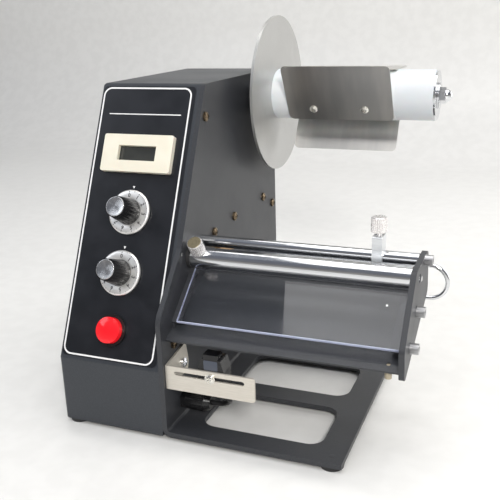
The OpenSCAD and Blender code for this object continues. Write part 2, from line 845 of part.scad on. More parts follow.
// Boss between the side plate and the brake felt
module spool_boss() {
    color([0.6, 0.6, 0.6]) at_home() difference() {
        bar_x(boss_r, 0, disc_x - hub_len - felt_t, spool_y, spool_z);
        bar_x(shaft_r + run_fit, -1, disc_x, spool_y, spool_z);
    }
}

// Felt washer that brakes the disc
module brake_felt() {
    color([0.35, 0.33, 0.3]) at_home() difference() {
        bar_x(felt_r, disc_x - hub_len - felt_t, disc_x - hub_len, spool_y, spool_z);
        bar_x(shaft_r + run_fit, 0, disc_x, spool_y, spool_z);
    }
}

// Large disc at the back of the spool, on its hub
module spool_disc() {
    color([0.72, 0.72, 0.7]) at_home() difference() {
        union() {
            bar_x(core_r, disc_x - hub_len + 0.1, disc_x + eps, spool_y, spool_z);
            bar_x(disc_r, disc_x, disc_end, spool_y, spool_z);
        }
        bar_x(shaft_r + run_fit, 0, disc_end + 1, spool_y, spool_z);
    }
}

// Places its child round the spool axis, with Z out of the core at leaf k
module at_leaf(k) {
    translate([disc_end + leaf_gap, spool_y, spool_z]) rotate([leaf_turn + 360 / leaf_n * k, 0, 0]) children();
}

// Nylon core with a flat and two screw holes for each leaf
module spool_core() {
    flat_w = 2 * core_r;
    color("whitesmoke") at_home() difference() {
        union() {
            bar_x(core_r, disc_end, core_end - nose_len, spool_y, spool_z);
            bar_x(core_r - nose_step, core_end - nose_len - eps, core_end, spool_y, spool_z);
        }
        bar_x(shaft_r + run_fit, disc_end - 1, core_end + 1, spool_y, spool_z);
        for (k = [0:leaf_n - 1]) {
            at_leaf(k) translate([-part_gap, -flat_w / 2, core_r - leaf_flat])
                cube([leaf_len + 2 * part_gap, flat_w, core_r]);
            for (x = leaf_screws_at) {
                at_leaf(k) translate([x, 0, shaft_r + 4]) cylinder(r = leaf_screw_r + run_fit, h = core_r);
            }
        }
    }
}

// End plate of the core
module spool_end() {
    color("silver") at_home() difference() {
        bar_x(end_r, core_end, end_face, spool_y, spool_z);
        bar_x(shaft_r + run_fit, core_end - 1, end_face + 1, spool_y, spool_z);
    }
}

// Washer under the dome nut
module end_washer() {
    color("silver") at_home() difference() {
        bar_x(washer_r, end_face + 0.1, end_face + 1.6, spool_y, spool_z);
        bar_x(stub_r + run_fit, end_face - 1, end_face + 3, spool_y, spool_z);
    }
}

// Dome nut on the end of the spool shaft
module end_nut() {
    nut_x = end_face + 1.6;
    hex_r = 6;
    hex_t = 4;
    dome_r = 4.8;
    color("silver") at_home() difference() {
        union() {
            facing_right(nut_x, [spool_y, spool_z]) cylinder(r = hex_r, h = hex_t, $fn = 6);
            translate([nut_x + hex_t, spool_y, spool_z]) sphere(r = dome_r);
        }
        bar_x(stub_r + run_fit, nut_x - 1, end_face + 6.2, spool_y, spool_z);
    }
}

// Spring leaf, held at one side of the core and free at the other
module leaf(k) {
    color([0.6, 0.58, 0.55]) at_home() at_leaf(k) translate([0, 0, core_r - leaf_flat])
        linear_extrude(leaf_t) difference() {
            polygon(rounded(box_corners(0, -leaf_tail, leaf_len, leaf_tail + leaf_reach, leaf_corner)));
            for (x = leaf_screws_at) {
                translate([x, 0]) circle(r = leaf_screw_r + run_fit);
            }
        }
}

module leaf_1() {
    leaf(0);
}

module leaf_2() {
    leaf(1);
}

module leaf_3() {
    leaf(2);
}

// Two screws through each leaf
module leaf_screws() {
    color("silver") at_home() for (k = [0:leaf_n - 1], x = leaf_screws_at) {
        at_leaf(k) translate([x, 0, core_r - leaf_flat + leaf_t]) pan_screw(3, 1.8, leaf_screw_r, 8);
    }
}

// ---------- liner take-up and drive ----------

// Flanged sleeve that the take-up shaft turns in
module rewind_bearing() {
    color([0.55, 0.5, 0.4]) at_home() difference() {
        union() {
            bar_x(sleeve_r + 5, 0, flange_t, rewind_y, rewind_z);
            bar_x(sleeve_r, sleeve_end, eps, rewind_y, rewind_z);
        }
        bar_x(journal_r + run_fit, sleeve_end - 1, flange_t + 1, rewind_y, rewind_z);
    }
}

// Take-up shaft with its journal in the side plate
module rewind_shaft() {
    color("silver") at_home() {
        bar_x(journal_r, gear_right - gear_w - 7, flange_t + 0.2, rewind_y, rewind_z);
        bar_x(rewind_r, flange_t + 0.1, rewind_len - 1, rewind_y, rewind_z);
        facing_right(rewind_len - 1, [rewind_y, rewind_z]) cylinder(r1 = rewind_r, r2 = rewind_r - 1, h = 1);
    }
}

// Gear on the journal, with a hub
module rewind_gear() {
    color([0.85, 0.83, 0.75]) at_home() difference() {
        union() {
            facing_right(gear_right - gear_w, [rewind_y, rewind_z]) rotate(90)
                linear_extrude(gear_w) polygon(gear_outline(gear_teeth));
            bar_x(12, gear_right - gear_w - 6, gear_right - gear_w + eps, rewind_y, rewind_z);
        }
        bar_x(journal_r + 0.02, gear_right - gear_w - 7, gear_right + 1, rewind_y, rewind_z);
    }
}

// Pinion and output shaft of the gear motor, a gap of its teeth facing the gear
module motor_pinion() {
    shaft_x = inner_x - drive_gap - drive_t - 6;
    color("silver") at_home() {
        facing_right(gear_right - gear_w - 0.5, [motor_y, rewind_z]) rotate(90 + 180 / pinion_teeth)
            linear_extrude(gear_w + 1) polygon(gear_outline(pinion_teeth));
        bar_x(spindle_r, shaft_x, gear_right + 1, motor_y, rewind_z);
    }
}

// Motor and gearbox behind the drive plate
module gear_motor() {
    face_x = inner_x - drive_gap;
    back_x = face_x - drive_t;
    color([0.5, 0.5, 0.52]) at_home() difference() {
        union() {
            bar_x(6, back_x - eps, face_x, motor_y, rewind_z);
            bar_x(gearbox_r, back_x - gearbox_len, back_x, motor_y, rewind_z);
            bar_x(motor_r, back_x - gearbox_len - motor_len, back_x - gearbox_len + eps, motor_y, rewind_z);
        }
        bar_x(spindle_r + run_fit, back_x - 8, face_x + 1, motor_y, rewind_z);
    }
}

// Plate that carries the gear motor
module drive_plate() {
    margin = 8;
    first = drive_screws_at[0];
    last = drive_screws_at[len(drive_screws_at) - 1];
    low_z = rewind_z - gearbox_r - 4;
    outline = [
        [first[0] - margin, last[1] + margin, 4],
        [first[0] - margin, first[1] - margin, 4],
        [motor_y - gearbox_r - 4, first[1] - margin, 2],
        [motor_y - gearbox_r - 4, low_z, 4],
        [motor_y + gearbox_r + 4, low_z, 4],
        [motor_y + gearbox_r + 4, first[1] - margin, 4],
        [last[0] + margin, first[1] - margin, 4],
        [last[0] + margin, last[1] + margin, 4]
    ];
    color([0.6, 0.6, 0.62]) at_home() difference() {
        across(inner_x - drive_gap - drive_t, inner_x - drive_gap) polygon(rounded(outline));
        bar_x(6 + run_fit, inner_x - drive_gap - drive_t - 1, inner_x - drive_gap + 1, motor_y, rewind_z);
        for (at = drive_screws_at) {
            bar_x(tapped_r, inner_x - drive_gap - drive_t - 1, inner_x - drive_gap + 1, at[0], at[1]);
        }
    }
}

// Posts between the side plate and the drive plate, each with a stub through the plate
module standoffs() {
    color("silver") at_home() for (at = drive_screws_at) {
        difference() {
            union() {
                bar_x(4, inner_x - drive_gap, inner_x, at[0], at[1]);
                bar_x(screw_r, inner_x - drive_gap - drive_t - 2, inner_x - drive_gap + eps, at[0], at[1]);
            }
            bar_x(tapped_r, inner_x - 6, inner_x + 1, at[0], at[1]);
        }
    }
}

// Wire clip that holds the liner on the take-up shaft
module liner_clip() {
    color("silver") at_home() translate([0, rewind_y, rewind_z]) {
        for (side = [-1, 1]) {
            bar_x(clip_wire_r, clip_start, clip_bend_x, 0, side * clip_leg_r);
        }
        translate([clip_bend_x, 0, 0]) rotate([90, 0, 0]) rotate(-90)
            rotate_extrude(angle = 180) translate([clip_leg_r, 0]) circle(r = clip_wire_r, $fn = 32);
    }
}

// ---------- control panel ----------

// Printed film on the sloping panel
module panel_film() {
    color([0.13, 0.14, 0.16]) at_home() on_panel(0, 0) linear_extrude(film_t) difference() {
        polygon(rounded(box_corners(left_x + film_inset, film_inset, case_w - plate_t - 2 * film_inset,
            panel_len - 2 * film_inset, 3)));
        translate([-control_x - counter_body_w / 2 - 0.1, counter_v - counter_body_h / 2 - 0.1])
            square([counter_body_w + 0.2, counter_body_h + 0.2]);
        translate([-control_x, button_v]) circle(r = button_body_r + run_fit);
        for (v = [speed_v, length_v]) {
            translate([-control_x, v]) circle(r = bush_r + run_fit);
        }
    }
}

// Frame of the counter, with a window opening and a pocket for the pane
module counter_bezel() {
    color([0.96, 0.94, 0.88]) at_home() on_panel(-control_x, counter_v, film_t) difference() {
        linear_extrude(counter_t) polygon(rounded(box_corners(-counter_w / 2, -counter_h / 2,
            counter_w, counter_h, 1.5)));
        block(window_w, window_h, -1, counter_t + 1);
        block(window_w + 4, window_h + 4, -1, 1.05);
    }
}

// Clear pane of the counter
module counter_window() {
    color([0.2, 0.22, 0.22]) at_home() on_panel(-control_x, counter_v, film_t)
        block(window_w + 3.9, window_h + 3.9, 0, 1);
}

// Body of the counter behind the panel
module counter_body() {
    color([0.1, 0.1, 0.1]) at_home() on_panel(-control_x, counter_v)
        block(counter_body_w, counter_body_h, -counter_body_d, film_t);
}

// Potentiometer behind the panel, with its bush and nut
module knob_control(v) {
    color([0.6, 0.6, 0.62]) at_home() on_panel(-control_x, v) difference() {
        union() {
            translate([0, 0, -sheet_t - control_d]) cylinder(r = control_r, h = control_d);
            translate([0, 0, -sheet_t - eps]) cylinder(r = bush_r, h = sheet_t + film_t + 2.4);
            translate([0, 0, film_t]) cylinder(r = nut_r, h = nut_h, $fn = 6);
        }
        translate([0, 0, 1 - sheet_t - control_d]) cylinder(r = spindle_r + run_fit, h = 2 * control_d);
    }
}

module length_control() {
    knob_control(length_v);
}

module speed_control() {
    knob_control(speed_v);
}

// Fluted knob with its spindle
module knob(v) {
    lift = dial_lift;
    pocket_h = nut_h + 0.8;
    color([0.08, 0.08, 0.08]) at_home() on_panel(-control_x, v, film_t) {
        difference() {
            union() {
                translate([0, 0, lift]) cylinder(r = knob_foot_r, h = dial_t + eps);
                translate([0, 0, lift + dial_t])
                    cylinder(r1 = knob_foot_r, r2 = knob_top_r, h = knob_h - lift - dial_t);
            }
            translate([0, 0, lift - eps]) cylinder(r = nut_r + 0.6, h = pocket_h);
            for (i = [0:knob_flutes - 1]) {
                rotate(360 * i / knob_flutes) translate([knob_foot_r + 0.3, 0, lift + dial_t + 1.5])
                    rotate([0, -atan2(knob_foot_r - knob_top_r, knob_h), 0]) cylinder(r = 0.8, h = knob_h, $fn = 12);
            }
        }
        translate([0, 0, -sheet_t - 8]) cylinder(r = spindle_r, h = sheet_t + 8 + knob_h - 4);
    }
}

module length_knob() {
    knob(length_v);
}

module speed_knob() {
    knob(speed_v);
}

// Metal skirt under the knob, with a bevelled rim
module dial(v) {
    color([0.75, 0.75, 0.75]) at_home() on_panel(-control_x, v, film_t + dial_lift) difference() {
        union() {
            cylinder(r = dial_r, h = dial_t * 0.6);
            translate([0, 0, dial_t * 0.6 - eps]) cylinder(r1 = dial_r, r2 = dial_r - 1, h = dial_t * 0.4);
        }
        translate([0, 0, -1]) cylinder(r = knob_foot_r + 0.02, h = dial_t + 2);
    }
}

module length_dial() {
    dial(length_v);
}

module speed_dial() {
    dial(speed_v);
}

// Spun metal cap on the knob
module knob_cap(v) {
    color("silver") at_home() on_panel(-control_x, v, film_t + knob_h) cylinder(r = knob_cap_r, h = 0.8);
}

module length_cap() {
    knob_cap(length_v);
}

module speed_cap() {
    knob_cap(speed_v);
}

// Bezel ring and housing of the power button
module button_bezel() {
    pocket_h = button_travel + 5;
    color([0.07, 0.07, 0.07]) at_home() on_panel(-control_x, button_v) difference() {
        union() {
            translate([0, 0, film_t]) cylinder(r = bezel_r, h = bezel_h);
            translate([0, 0, -22]) cylinder(r = button_body_r, h = 22 + film_t + eps);
        }
        translate([0, 0, -pocket_h]) cylinder(r = button_r + 0.25, h = pocket_h + film_t + bezel_h + 1);
    }
}

// Red cap of the power button, with a domed crown
module power_button() {
    dome_r = button_r * 2.6;
    color("red") at_home() on_panel(-control_x, button_v) intersection() {
        translate([0, 0, -4]) cylinder(r = button_r, h = 4 + film_t + button_h);
        translate([0, 0, film_t + button_h - dome_r]) sphere(r = dome_r);
    }
}

// ---------- inside and back of the case ----------

// Posts under the control board
module board_posts() {
    inset = 5;
    color("silver") at_home()
    for (x = [inset, board_size[0] - inset], y = [inset, board_size[1] - inset]) {
        translate([board_at[0] + x, board_at[1] + y, floor_top]) {
            cylinder(r = 3, h = post_h);
            cylinder(r = 1.4, h = post_h + board_size[2] + 1);
        }
    }
}

// Control board with its larger parts
module control_board() {
    inset = 5;
    top = board_size[2] - eps;
    color([0.1, 0.35, 0.2]) at_home() translate([board_at[0], board_at[1], floor_top + post_h]) difference() {
        union() {
            cube(board_size);
            translate([10, 14, top]) cube([14, 20, 3]);
            translate([30, 10, top]) cube([12, 8, 9]);
            for (x = [12, 26]) {
                translate([x, board_size[1] - 20, top]) cylinder(r = 5, h = 12);
            }
            translate([34, 34, top]) cube([5, 12, 16]);
        }
        for (x = [inset, board_size[0] - inset], y = [inset, board_size[1] - inset]) {
            translate([x, y, -1]) cylinder(r = 1.45, h = board_size[2] + 2);
        }
    }
}

// Round direct-current socket in the back wall
module power_inlet() {
    color([0.1, 0.1, 0.1]) at_home() translate([inlet_at[0], case_d, inlet_at[1]]) rotate([-90, 0, 0]) {
        difference() {
            union() {
                cylinder(r = inlet_r + 2, h = 2);
                translate([0, 0, -14]) cylinder(r = inlet_r, h = 14 + eps);
            }
            translate([0, 0, -9]) cylinder(r = 2.9, h = 12);
        }
        translate([0, 0, -9.5]) cylinder(r = 1, h = 10);
    }
}

// ---------- sensor ----------

// Gland that the sensor's lead leaves the case through
module cable_gland() {
    nut_h = 4;
    tip_h = 4;
    nut_r = gland_r + 0.6;
    color([0.08, 0.08, 0.08]) at_home() difference() {
        union() {
            facing_right(inner_x - 3, gland_at) cylinder(r = nut_r, h = 3, $fn = 6);
            facing_right(inner_x - 6, gland_at) cylinder(r = gland_thread_r, h = plate_t + 6 + eps);
            facing_right(0, gland_at) cylinder(r = nut_r, h = nut_h, $fn = 6);
            facing_right(nut_h - eps, gland_at) cylinder(r = gland_r, h = gland_len - nut_h - tip_h);
            facing_right(gland_len - tip_h - 2 * eps, gland_at)
                cylinder(r1 = gland_r, r2 = gland_r - 2, h = tip_h + 2 * eps);
        }
        bar_x(cable_r + 0.2, inner_x - 7, gland_len + 1, gland_at[0], gland_at[1]);
    }
}

// Point at t between p1 and p2 on a curve through four points
function between(p0, p1, p2, p3, t) =
    (2 * p1 + (p2 - p0) * t + (2 * p0 - 5 * p1 + 4 * p2 - p3) * t * t
        + (3 * p1 - p0 - 3 * p2 + p3) * t * t * t) / 2;

// Smooth curve through a route
function smooth(route) =
    let(n = len(route))
    concat(
        [
            for (i = [0:n - 2], j = [0:lead_steps - 1])
            between(route[max(i - 1, 0)], route[i], route[i + 1], route[min(i + 2, n - 1)], j / lead_steps)
        ],
        [route[n - 1]]
    );

// Round tube along a path
module tube(path, r) {
    n = len(path);
    lean = [1, -1, 0.3];
    rings = [
        for (i = [0:n - 1])
        let(
            along = path[min(i + 1, n - 1)] - path[max(i - 1, 0)],
            u = cross(along, lean) / norm(cross(along, lean)),
            v = cross(u, along) / norm(along)
        )
        for (k = [0:lead_sides - 1])
        path[i] + r * (u * cos(360 * k / lead_sides) + v * sin(360 * k / lead_sides))
    ];
    walls = [
        for (i = [0:n - 2], k = [0:lead_sides - 1])
        let(a = i * lead_sides + k, b = i * lead_sides + (k + 1) % lead_sides)
        each [[a, a + lead_sides, b], [b, a + lead_sides, b + lead_sides]]
    ];
    start_cap = [[for (k = [0:lead_sides - 1]) k]];
    end_cap = [[for (k = [lead_sides - 1:-1:0]) (n - 1) * lead_sides + k]];
    polyhedron(rings, concat(walls, start_cap, end_cap));
}

// Lead of the label sensor
module sensor_cable() {
    color([0.06, 0.06, 0.06]) at_home() tube(smooth(lead_route), cable_r);
}

// Bent sheet bracket with a slotted front plate
module sensor_bracket() {
    flange_x = 0.2;
    top = bracket_z + bracket_h;
    flange = [
        [bracket_y, bracket_z, 0],
        [pivot_y + 6.5, bracket_z, 4],
        [pivot_y + 8.2, pivot_z - 1.6, 6],
        [pivot_y + 5.2, pivot_z + 12.6, 3],
        [bracket_y, top, 0]
    ];
    color([0.75, 0.71, 0.64]) at_home() difference() {
        union() {
            across(flange_x, flange_x + bracket_t) polygon(rounded(flange));
            translate([0, bracket_y + bracket_t, 0]) rotate([90, 0, 0]) linear_extrude(bracket_t) difference() {
                polygon(rounded([[flange_x, bracket_z, 0], [bracket_w, bracket_z, 2],
                    [bracket_w, top, 2], [flange_x, top, 0]]));
                translate([0, slot_z]) {
                    translate([slot_x + slot_w / 2, -slot_w / 2]) square([slot_len - slot_w, slot_w]);
                    for (x = [slot_x + slot_w / 2, slot_x + slot_len - slot_w / 2]) {
                        translate([x, 0]) circle(r = slot_w / 2);
                    }
                }
            }
        }
        bar_x(tapped_r, -1, flange_x + bracket_t + 1, pivot_y, pivot_z);
    }
}

// Screw that the bracket tilts about
module pivot_screw() {
    color([0.75, 0.68, 0.5]) at_home() facing_right(0.3 + bracket_t, [pivot_y, pivot_z])
        pan_screw(screw_head_r, round_head_h, screw_r, plate_t + bracket_t + 2);
}

// Optical sensor behind the slotted plate, with a lens block on its top
module label_sensor() {
    face_y = bracket_y + bracket_t + run_fit;
    outline = [
        [-sensor_w / 2, sensor_foot_z, 1],
        [sensor_w / 2, sensor_foot_z, 1],
        [sensor_w / 2, sensor_shoulder_z, 2],
        [sensor_top_w / 2, sensor_top_z, 1.5],
        [-sensor_top_w / 2, sensor_top_z, 1.5],
        [-sensor_w / 2, sensor_shoulder_z, 2]
    ];
    color([0.07, 0.07, 0.08]) at_home() difference() {
        union() {
            translate([sensor_x, face_y + sensor_d, 0]) rotate([90, 0, 0]) linear_extrude(sensor_d)
                polygon(rounded(outline));
            translate([sensor_x, face_y + lens_size[1] / 2, 0])
                block(lens_size[0], lens_size[1], sensor_top_z - eps, sensor_top_z + lens_h);
        }
        translate([sensor_x, face_y - 1, slot_z]) rotate([-90, 0, 0])
            cylinder(r = sensor_screw_r + run_fit, h = 9);
        translate([sensor_x, lead_end[1], sensor_foot_z - 1])
            cylinder(r = cable_r + part_gap, h = lead_end[2] - sensor_foot_z + 1 + part_gap);
    }
}

// Screw that clamps the sensor in the slot
module sensor_screw() {
    washer_t = 0.6;
    color("silver") at_home() translate([sensor_x, bracket_y - run_fit, slot_z]) rotate([90, 0, 0]) {
        cylinder(r = 3.5, h = washer_t);
        translate([0, 0, washer_t - eps]) pan_screw(2.6, 1.6, sensor_screw_r, 8);
    }
}

frame_plate();
case_cover();
case_floor();
outer_plate();
panel_film();
counter_bezel();
counter_body();
counter_window();
length_control();
speed_control();
button_bezel();
side_screws();
inner_screws();
outer_screws();
standoffs();
drive_plate();
gear_motor();
guide_rod();
front_bar();
bar_ring();
tray();
tray_pin();
peel_plate();
rewind_bearing();
spool_shaft();
spool_boss();
brake_felt();
end_washer();
end_nut();
control_board();
board_posts();
power_inlet();
feet();
cable_gland();
sensor_cable();
pivot_screw();
spool_core();
spool_disc();
spool_end();
leaf_1();
leaf_2();
leaf_3();
leaf_screws();
lock_screw();
rewind_shaft();
rewind_gear();
motor_pinion();
liner_clip();
label_guide();
guide_screw();
length_knob();
length_dial();
length_cap();
speed_knob();
speed_dial();
speed_cap();
power_button();
sensor_bracket();
label_sensor();
sensor_screw();
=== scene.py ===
import json
import math

import bmesh
import bpy
from mathutils import Matrix, Vector


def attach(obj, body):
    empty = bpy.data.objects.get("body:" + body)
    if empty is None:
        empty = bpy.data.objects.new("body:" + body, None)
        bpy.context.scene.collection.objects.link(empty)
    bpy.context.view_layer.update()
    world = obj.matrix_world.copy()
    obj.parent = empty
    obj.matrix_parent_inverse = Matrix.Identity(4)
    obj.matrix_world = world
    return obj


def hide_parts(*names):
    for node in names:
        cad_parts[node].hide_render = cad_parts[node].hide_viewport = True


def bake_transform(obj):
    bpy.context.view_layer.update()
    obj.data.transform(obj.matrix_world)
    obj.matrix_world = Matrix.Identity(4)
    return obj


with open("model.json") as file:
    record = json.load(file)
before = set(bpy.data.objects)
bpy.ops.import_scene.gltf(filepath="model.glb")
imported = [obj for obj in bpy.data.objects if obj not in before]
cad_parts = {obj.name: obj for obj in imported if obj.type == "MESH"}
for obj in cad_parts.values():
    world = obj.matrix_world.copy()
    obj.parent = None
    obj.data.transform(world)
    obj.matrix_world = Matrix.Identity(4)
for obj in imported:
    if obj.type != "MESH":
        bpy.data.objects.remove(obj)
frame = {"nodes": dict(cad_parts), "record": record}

# The part's source is in millimetres from the front foot of the side plate; this
# takes such a point to the shared frame, in metres.
HOME = Vector((-42.8, -126.25, 6.5))
MM = 0.001

# Sizes repeated from the part's source, in millimetres
PANEL_START = 43.0
PANEL_SLOPE = math.atan2(175.5, 85.0)
FILM_TOP = 0.4
CONTROL_X = -42.0
LENGTH_V = 103.3
SPEED_V = 61.5
COUNTER_V = 143.9
DIAL_LIFT = 0.6
DIAL_T = 2.0
DIAL_R = 15.5
KNOB_H = 20.0
CAP_R = 6.6
GLAND_AT = (0, 27, 11.5)
BAR_END_AT = (153.5, 56.6, 104.5)
STUDS = (("front", 110.5, 8.0), ("back", 110.5, 211.7))
STUD_HOLE_R = 2.15
LEAD_D = 3.6
BAR_SCREW_SEAT = (8.2, 48.5, 107.5)
BAR_R = 7.0
LOCK_LEAN = math.radians(37)
GUIDE_SCREW_SEAT = (124.2, 67.0, 127.2)
HEAD_R = 5.1
HEAD_H = 9.7
PEEL_START = (4.5, 13.4, 74.9)
PEEL_SLOPE = math.radians(39.3)
TRAY_START = (0, 6, 64.3)
TRAY_SLOPE = math.radians(20.6)
SENSOR_X = 32

# Each knob's name, its place up the panel and the angle of its dial's 0, in degrees
KNOBS = (("length", LENGTH_V, 96), ("speed", SPEED_V, 90))

# Thickness of a printed line, in millimetres
PRINT_T = 0.06

# The camera, measured from the photograph: picture width and focal length in pixels,
# its place in the source's millimetres, and its angles in radians
PICTURE_W = 500
FOCAL_PX = 746.191
VIEWPOINT = (217.311, -381.704, 264.143)
YAW, PITCH, ROLL = 0.383946, 0.309522, -0.031011
SENSOR_MM = 36

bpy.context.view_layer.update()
nodes = frame["nodes"]


def at(x, y, z):
    """A point of the part's source in the shared frame."""
    return (Vector((x, y, z)) + HOME) * MM


def on_panel(x, v, out=0.0):
    """A place on the sloping panel: X across, Y up the slope, Z out of it."""
    c, s = math.cos(PANEL_SLOPE), math.sin(PANEL_SLOPE)
    spot = at(x, v * c - out * s, PANEL_START + v * s + out * c)
    return Matrix.Translation(spot) @ Matrix.Rotation(PANEL_SLOPE, 4, "X")


def facing(spot, direction):
    """A place at a point, its Z along a direction."""
    quat = Vector(direction).to_track_quat("Z", "Y")
    return Matrix.Translation(spot) @ quat.to_matrix().to_4x4()


# ---------- camera ----------


def place_camera():
    """The photograph's own viewpoint."""
    ahead = Vector((-math.sin(YAW) * math.cos(PITCH), math.cos(YAW) * math.cos(PITCH), -math.sin(PITCH)))
    level = Vector((math.cos(YAW), math.sin(YAW), 0))
    over = level.cross(ahead)
    right = level * math.cos(ROLL) + over * math.sin(ROLL)
    up = over * math.cos(ROLL) - level * math.sin(ROLL)
    lens = bpy.data.cameras.new("viewpoint")
    lens.sensor_fit = "HORIZONTAL"
    lens.sensor_width = SENSOR_MM
    lens.lens = FOCAL_PX / PICTURE_W * SENSOR_MM
    lens.clip_start = 0.01
    camera = bpy.data.objects.new("viewpoint", lens)
    turn_to = Matrix((right, up, -ahead)).transposed().to_4x4()
    camera.matrix_world = Matrix.Translation(at(*VIEWPOINT)) @ turn_to
    bpy.context.collection.objects.link(camera)
    bpy.context.scene.camera = camera


# ---------- shader groups ----------


def new_group(name, inputs, outputs):
    """An empty shader node group with its named sockets."""
    tree = bpy.data.node_groups.new(name, "ShaderNodeTree")
    for label, kind, value in inputs:
        socket = tree.interface.new_socket(name=label, in_out="INPUT", socket_type=kind)
        socket.default_value = value
    for label in outputs:
        tree.interface.new_socket(name=label, in_out="OUTPUT", socket_type="NodeSocketFloat")
    start = tree.nodes.new("NodeGroupInput")
    end = tree.nodes.new("NodeGroupOutput")
    return tree, start, end


def node(tree, kind, links=(), **values):
    """A node with its settings and input links; a value may name a setting or an input."""
    made = tree.nodes.new(kind)
    for key, value in values.items():
        if hasattr(made, key):
            setattr(made, key, value)
    for key, value in values.items():
        if not hasattr(made, key):
            made.inputs[key.replace("_", " ")].default_value = value
    for key, source in dict(links).items():
        tree.links.new(source, made.inputs[key])
    return made


def calc(tree, operation, *values):
    """A Math node; its values are sockets or numbers."""
    made = tree.nodes.new("ShaderNodeMath")
    made.operation = operation
    for slot, value in enumerate(values):
        if isinstance(value, (int, float)):
            made.inputs[slot].default_value = value
        else:
            tree.links.new(value, made.inputs[slot])
    return made.outputs[0]


def vector_calc(tree, operation, a, b):
    """A Vector Math node; a and b are sockets or vectors."""
    made = tree.nodes.new("ShaderNodeVectorMath")
    made.operation = operation
    for slot, value in enumerate((a, b)):
        if isinstance(value, (tuple, list)):
            made.inputs[slot].default_value = value
        else:
            tree.links.new(value, made.inputs[slot])
    return made


def spread(tree, value, low, high, to_low=0.0, to_high=1.0):
    """A value stretched from one range to another, held at its ends."""
    made = tree.nodes.new("ShaderNodeMapRange")
    made.interpolation_type = "SMOOTHSTEP"
    tree.links.new(value, made.inputs["Value"])
    made.inputs["From Min"].default_value = low
    made.inputs["From Max"].default_value = high
    made.inputs["To Min"].default_value = to_low
    made.inputs["To Max"].default_value = to_high
    return made.outputs["Result"]


def powder_coat_group():
    """Orange-peel relief and fleck of a baked powder coat."""
    tree, start, end = new_group(
        "powder coat",
        [("Vector", "NodeSocketVector", (0, 0, 0)), ("Grain", "NodeSocketFloat", 1500.0)],
        ["Shade", "Height"],
    )
    spot, grain = start.outputs["Vector"], start.outputs["Grain"]
    fine = node(tree, "ShaderNodeTexNoise", {"Vector": spot, "Scale": grain}, Detail=2.0, Roughness=0.6)
    half = calc(tree, "MULTIPLY", grain, 0.45)
    cells = node(tree, "ShaderNodeTexVoronoi", {"Vector": spot, "Scale": half}, feature="SMOOTH_F1")
    height = calc(tree, "ADD", calc(tree, "MULTIPLY", fine.outputs["Fac"], 0.6),
                  calc(tree, "MULTIPLY", cells.outputs["Distance"], 0.5))
    tree.links.new(height, end.inputs["Height"])
    tree.links.new(spread(tree, fine.outputs["Fac"], 0.42, 0.66), end.inputs["Shade"])
    return tree


def moulded_group():
    """Fine spark-eroded texture of a moulded plastic."""
    tree, start, end = new_group(
        "moulded grain",
        [("Vector", "NodeSocketVector", (0, 0, 0)), ("Grain", "NodeSocketFloat", 2400.0)],
        ["Shade", "Height"],
    )
    spot, grain = start.outputs["Vector"], start.outputs["Grain"]
    fine = node(tree, "ShaderNodeTexNoise", {"Vector": spot, "Scale": grain}, Detail=3.0, Roughness=0.7)
    broad = node(tree, "ShaderNodeTexNoise", {"Vector": spot}, Scale=60.0, Detail=2.0)
    tree.links.new(fine.outputs["Fac"], end.inputs["Height"])
    tree.links.new(spread(tree, broad.outputs["Fac"], 0.35, 0.65), end.inputs["Shade"])
    return tree


def brushed_group():
    """Long fine lines of a brushed or drawn metal; Stretch packs the lines across the grain."""
    tree, start, end = new_group(
        "brushed lines",
        [("Vector", "NodeSocketVector", (0, 0, 0)), ("Stretch", "NodeSocketVector", (40, 3000, 3000))],
        ["Shade", "Height"],
    )
    packed = vector_calc(tree, "MULTIPLY", start.outputs["Vector"], start.outputs["Stretch"]).outputs[0]
    lines = node(tree, "ShaderNodeTexNoise", {"Vector": packed}, Scale=1.0, Detail=3.0, Roughness=0.65)
    tree.links.new(lines.outputs["Fac"], end.inputs["Height"])
    tree.links.new(spread(tree, lines.outputs["Fac"], 0.35, 0.65), end.inputs["Shade"])
    return tree


def turned_group():
    """Rings that a lathe tool leaves round an axis through Centre."""
    tree, start, end = new_group(
        "turned rings",
        [("Vector", "NodeSocketVector", (0, 0, 0)), ("Centre", "NodeSocketVector", (0, 0, 0)),
         ("Axis", "NodeSocketVector", (0, 0, 1)), ("Rings", "NodeSocketFloat", 2500.0)],
        ["Shade", "Height"],
    )
    arm = vector_calc(tree, "SUBTRACT", start.outputs["Vector"], start.outputs["Centre"]).outputs[0]
    radius = vector_calc(tree, "CROSS_PRODUCT", arm, start.outputs["Axis"]).outputs[0]
    length = tree.nodes.new("ShaderNodeVectorMath")
    length.operation = "LENGTH"
    tree.links.new(radius, length.inputs[0])
    scaled = calc(tree, "MULTIPLY", length.outputs["Value"], start.outputs["Rings"])
    rings = node(tree, "ShaderNodeTexNoise", {"W": scaled}, noise_dimensions="1D", Scale=1.0, Detail=3.0)
    tree.links.new(rings.outputs["Fac"], end.inputs["Height"])
    tree.links.new(spread(tree, rings.outputs["Fac"], 0.3, 0.7), end.inputs["Shade"])
    return tree


def handling_group():
    """Soft cloudy marks that hands and wiping leave on a finish."""
    tree, start, end = new_group(
        "handling marks",
        [("Vector", "NodeSocketVector", (0, 0, 0)), ("Size", "NodeSocketFloat", 30.0)],
        ["Mask"],
    )
    spot, size = start.outputs["Vector"], start.outputs["Size"]
    cloud = node(tree, "ShaderNodeTexNoise", {"Vector": spot, "Scale": size},
                 Detail=5.0, Roughness=0.6, Distortion=0.4)
    tree.links.new(spread(tree, cloud.outputs["Fac"], 0.4, 0.68), end.inputs["Mask"])
    return tree


GROUPS = {
    "powder": powder_coat_group(),
    "moulded": moulded_group(),
    "brushed": brushed_group(),
    "turned": turned_group(),
    "handling": handling_group(),
}


# ---------- materials ----------


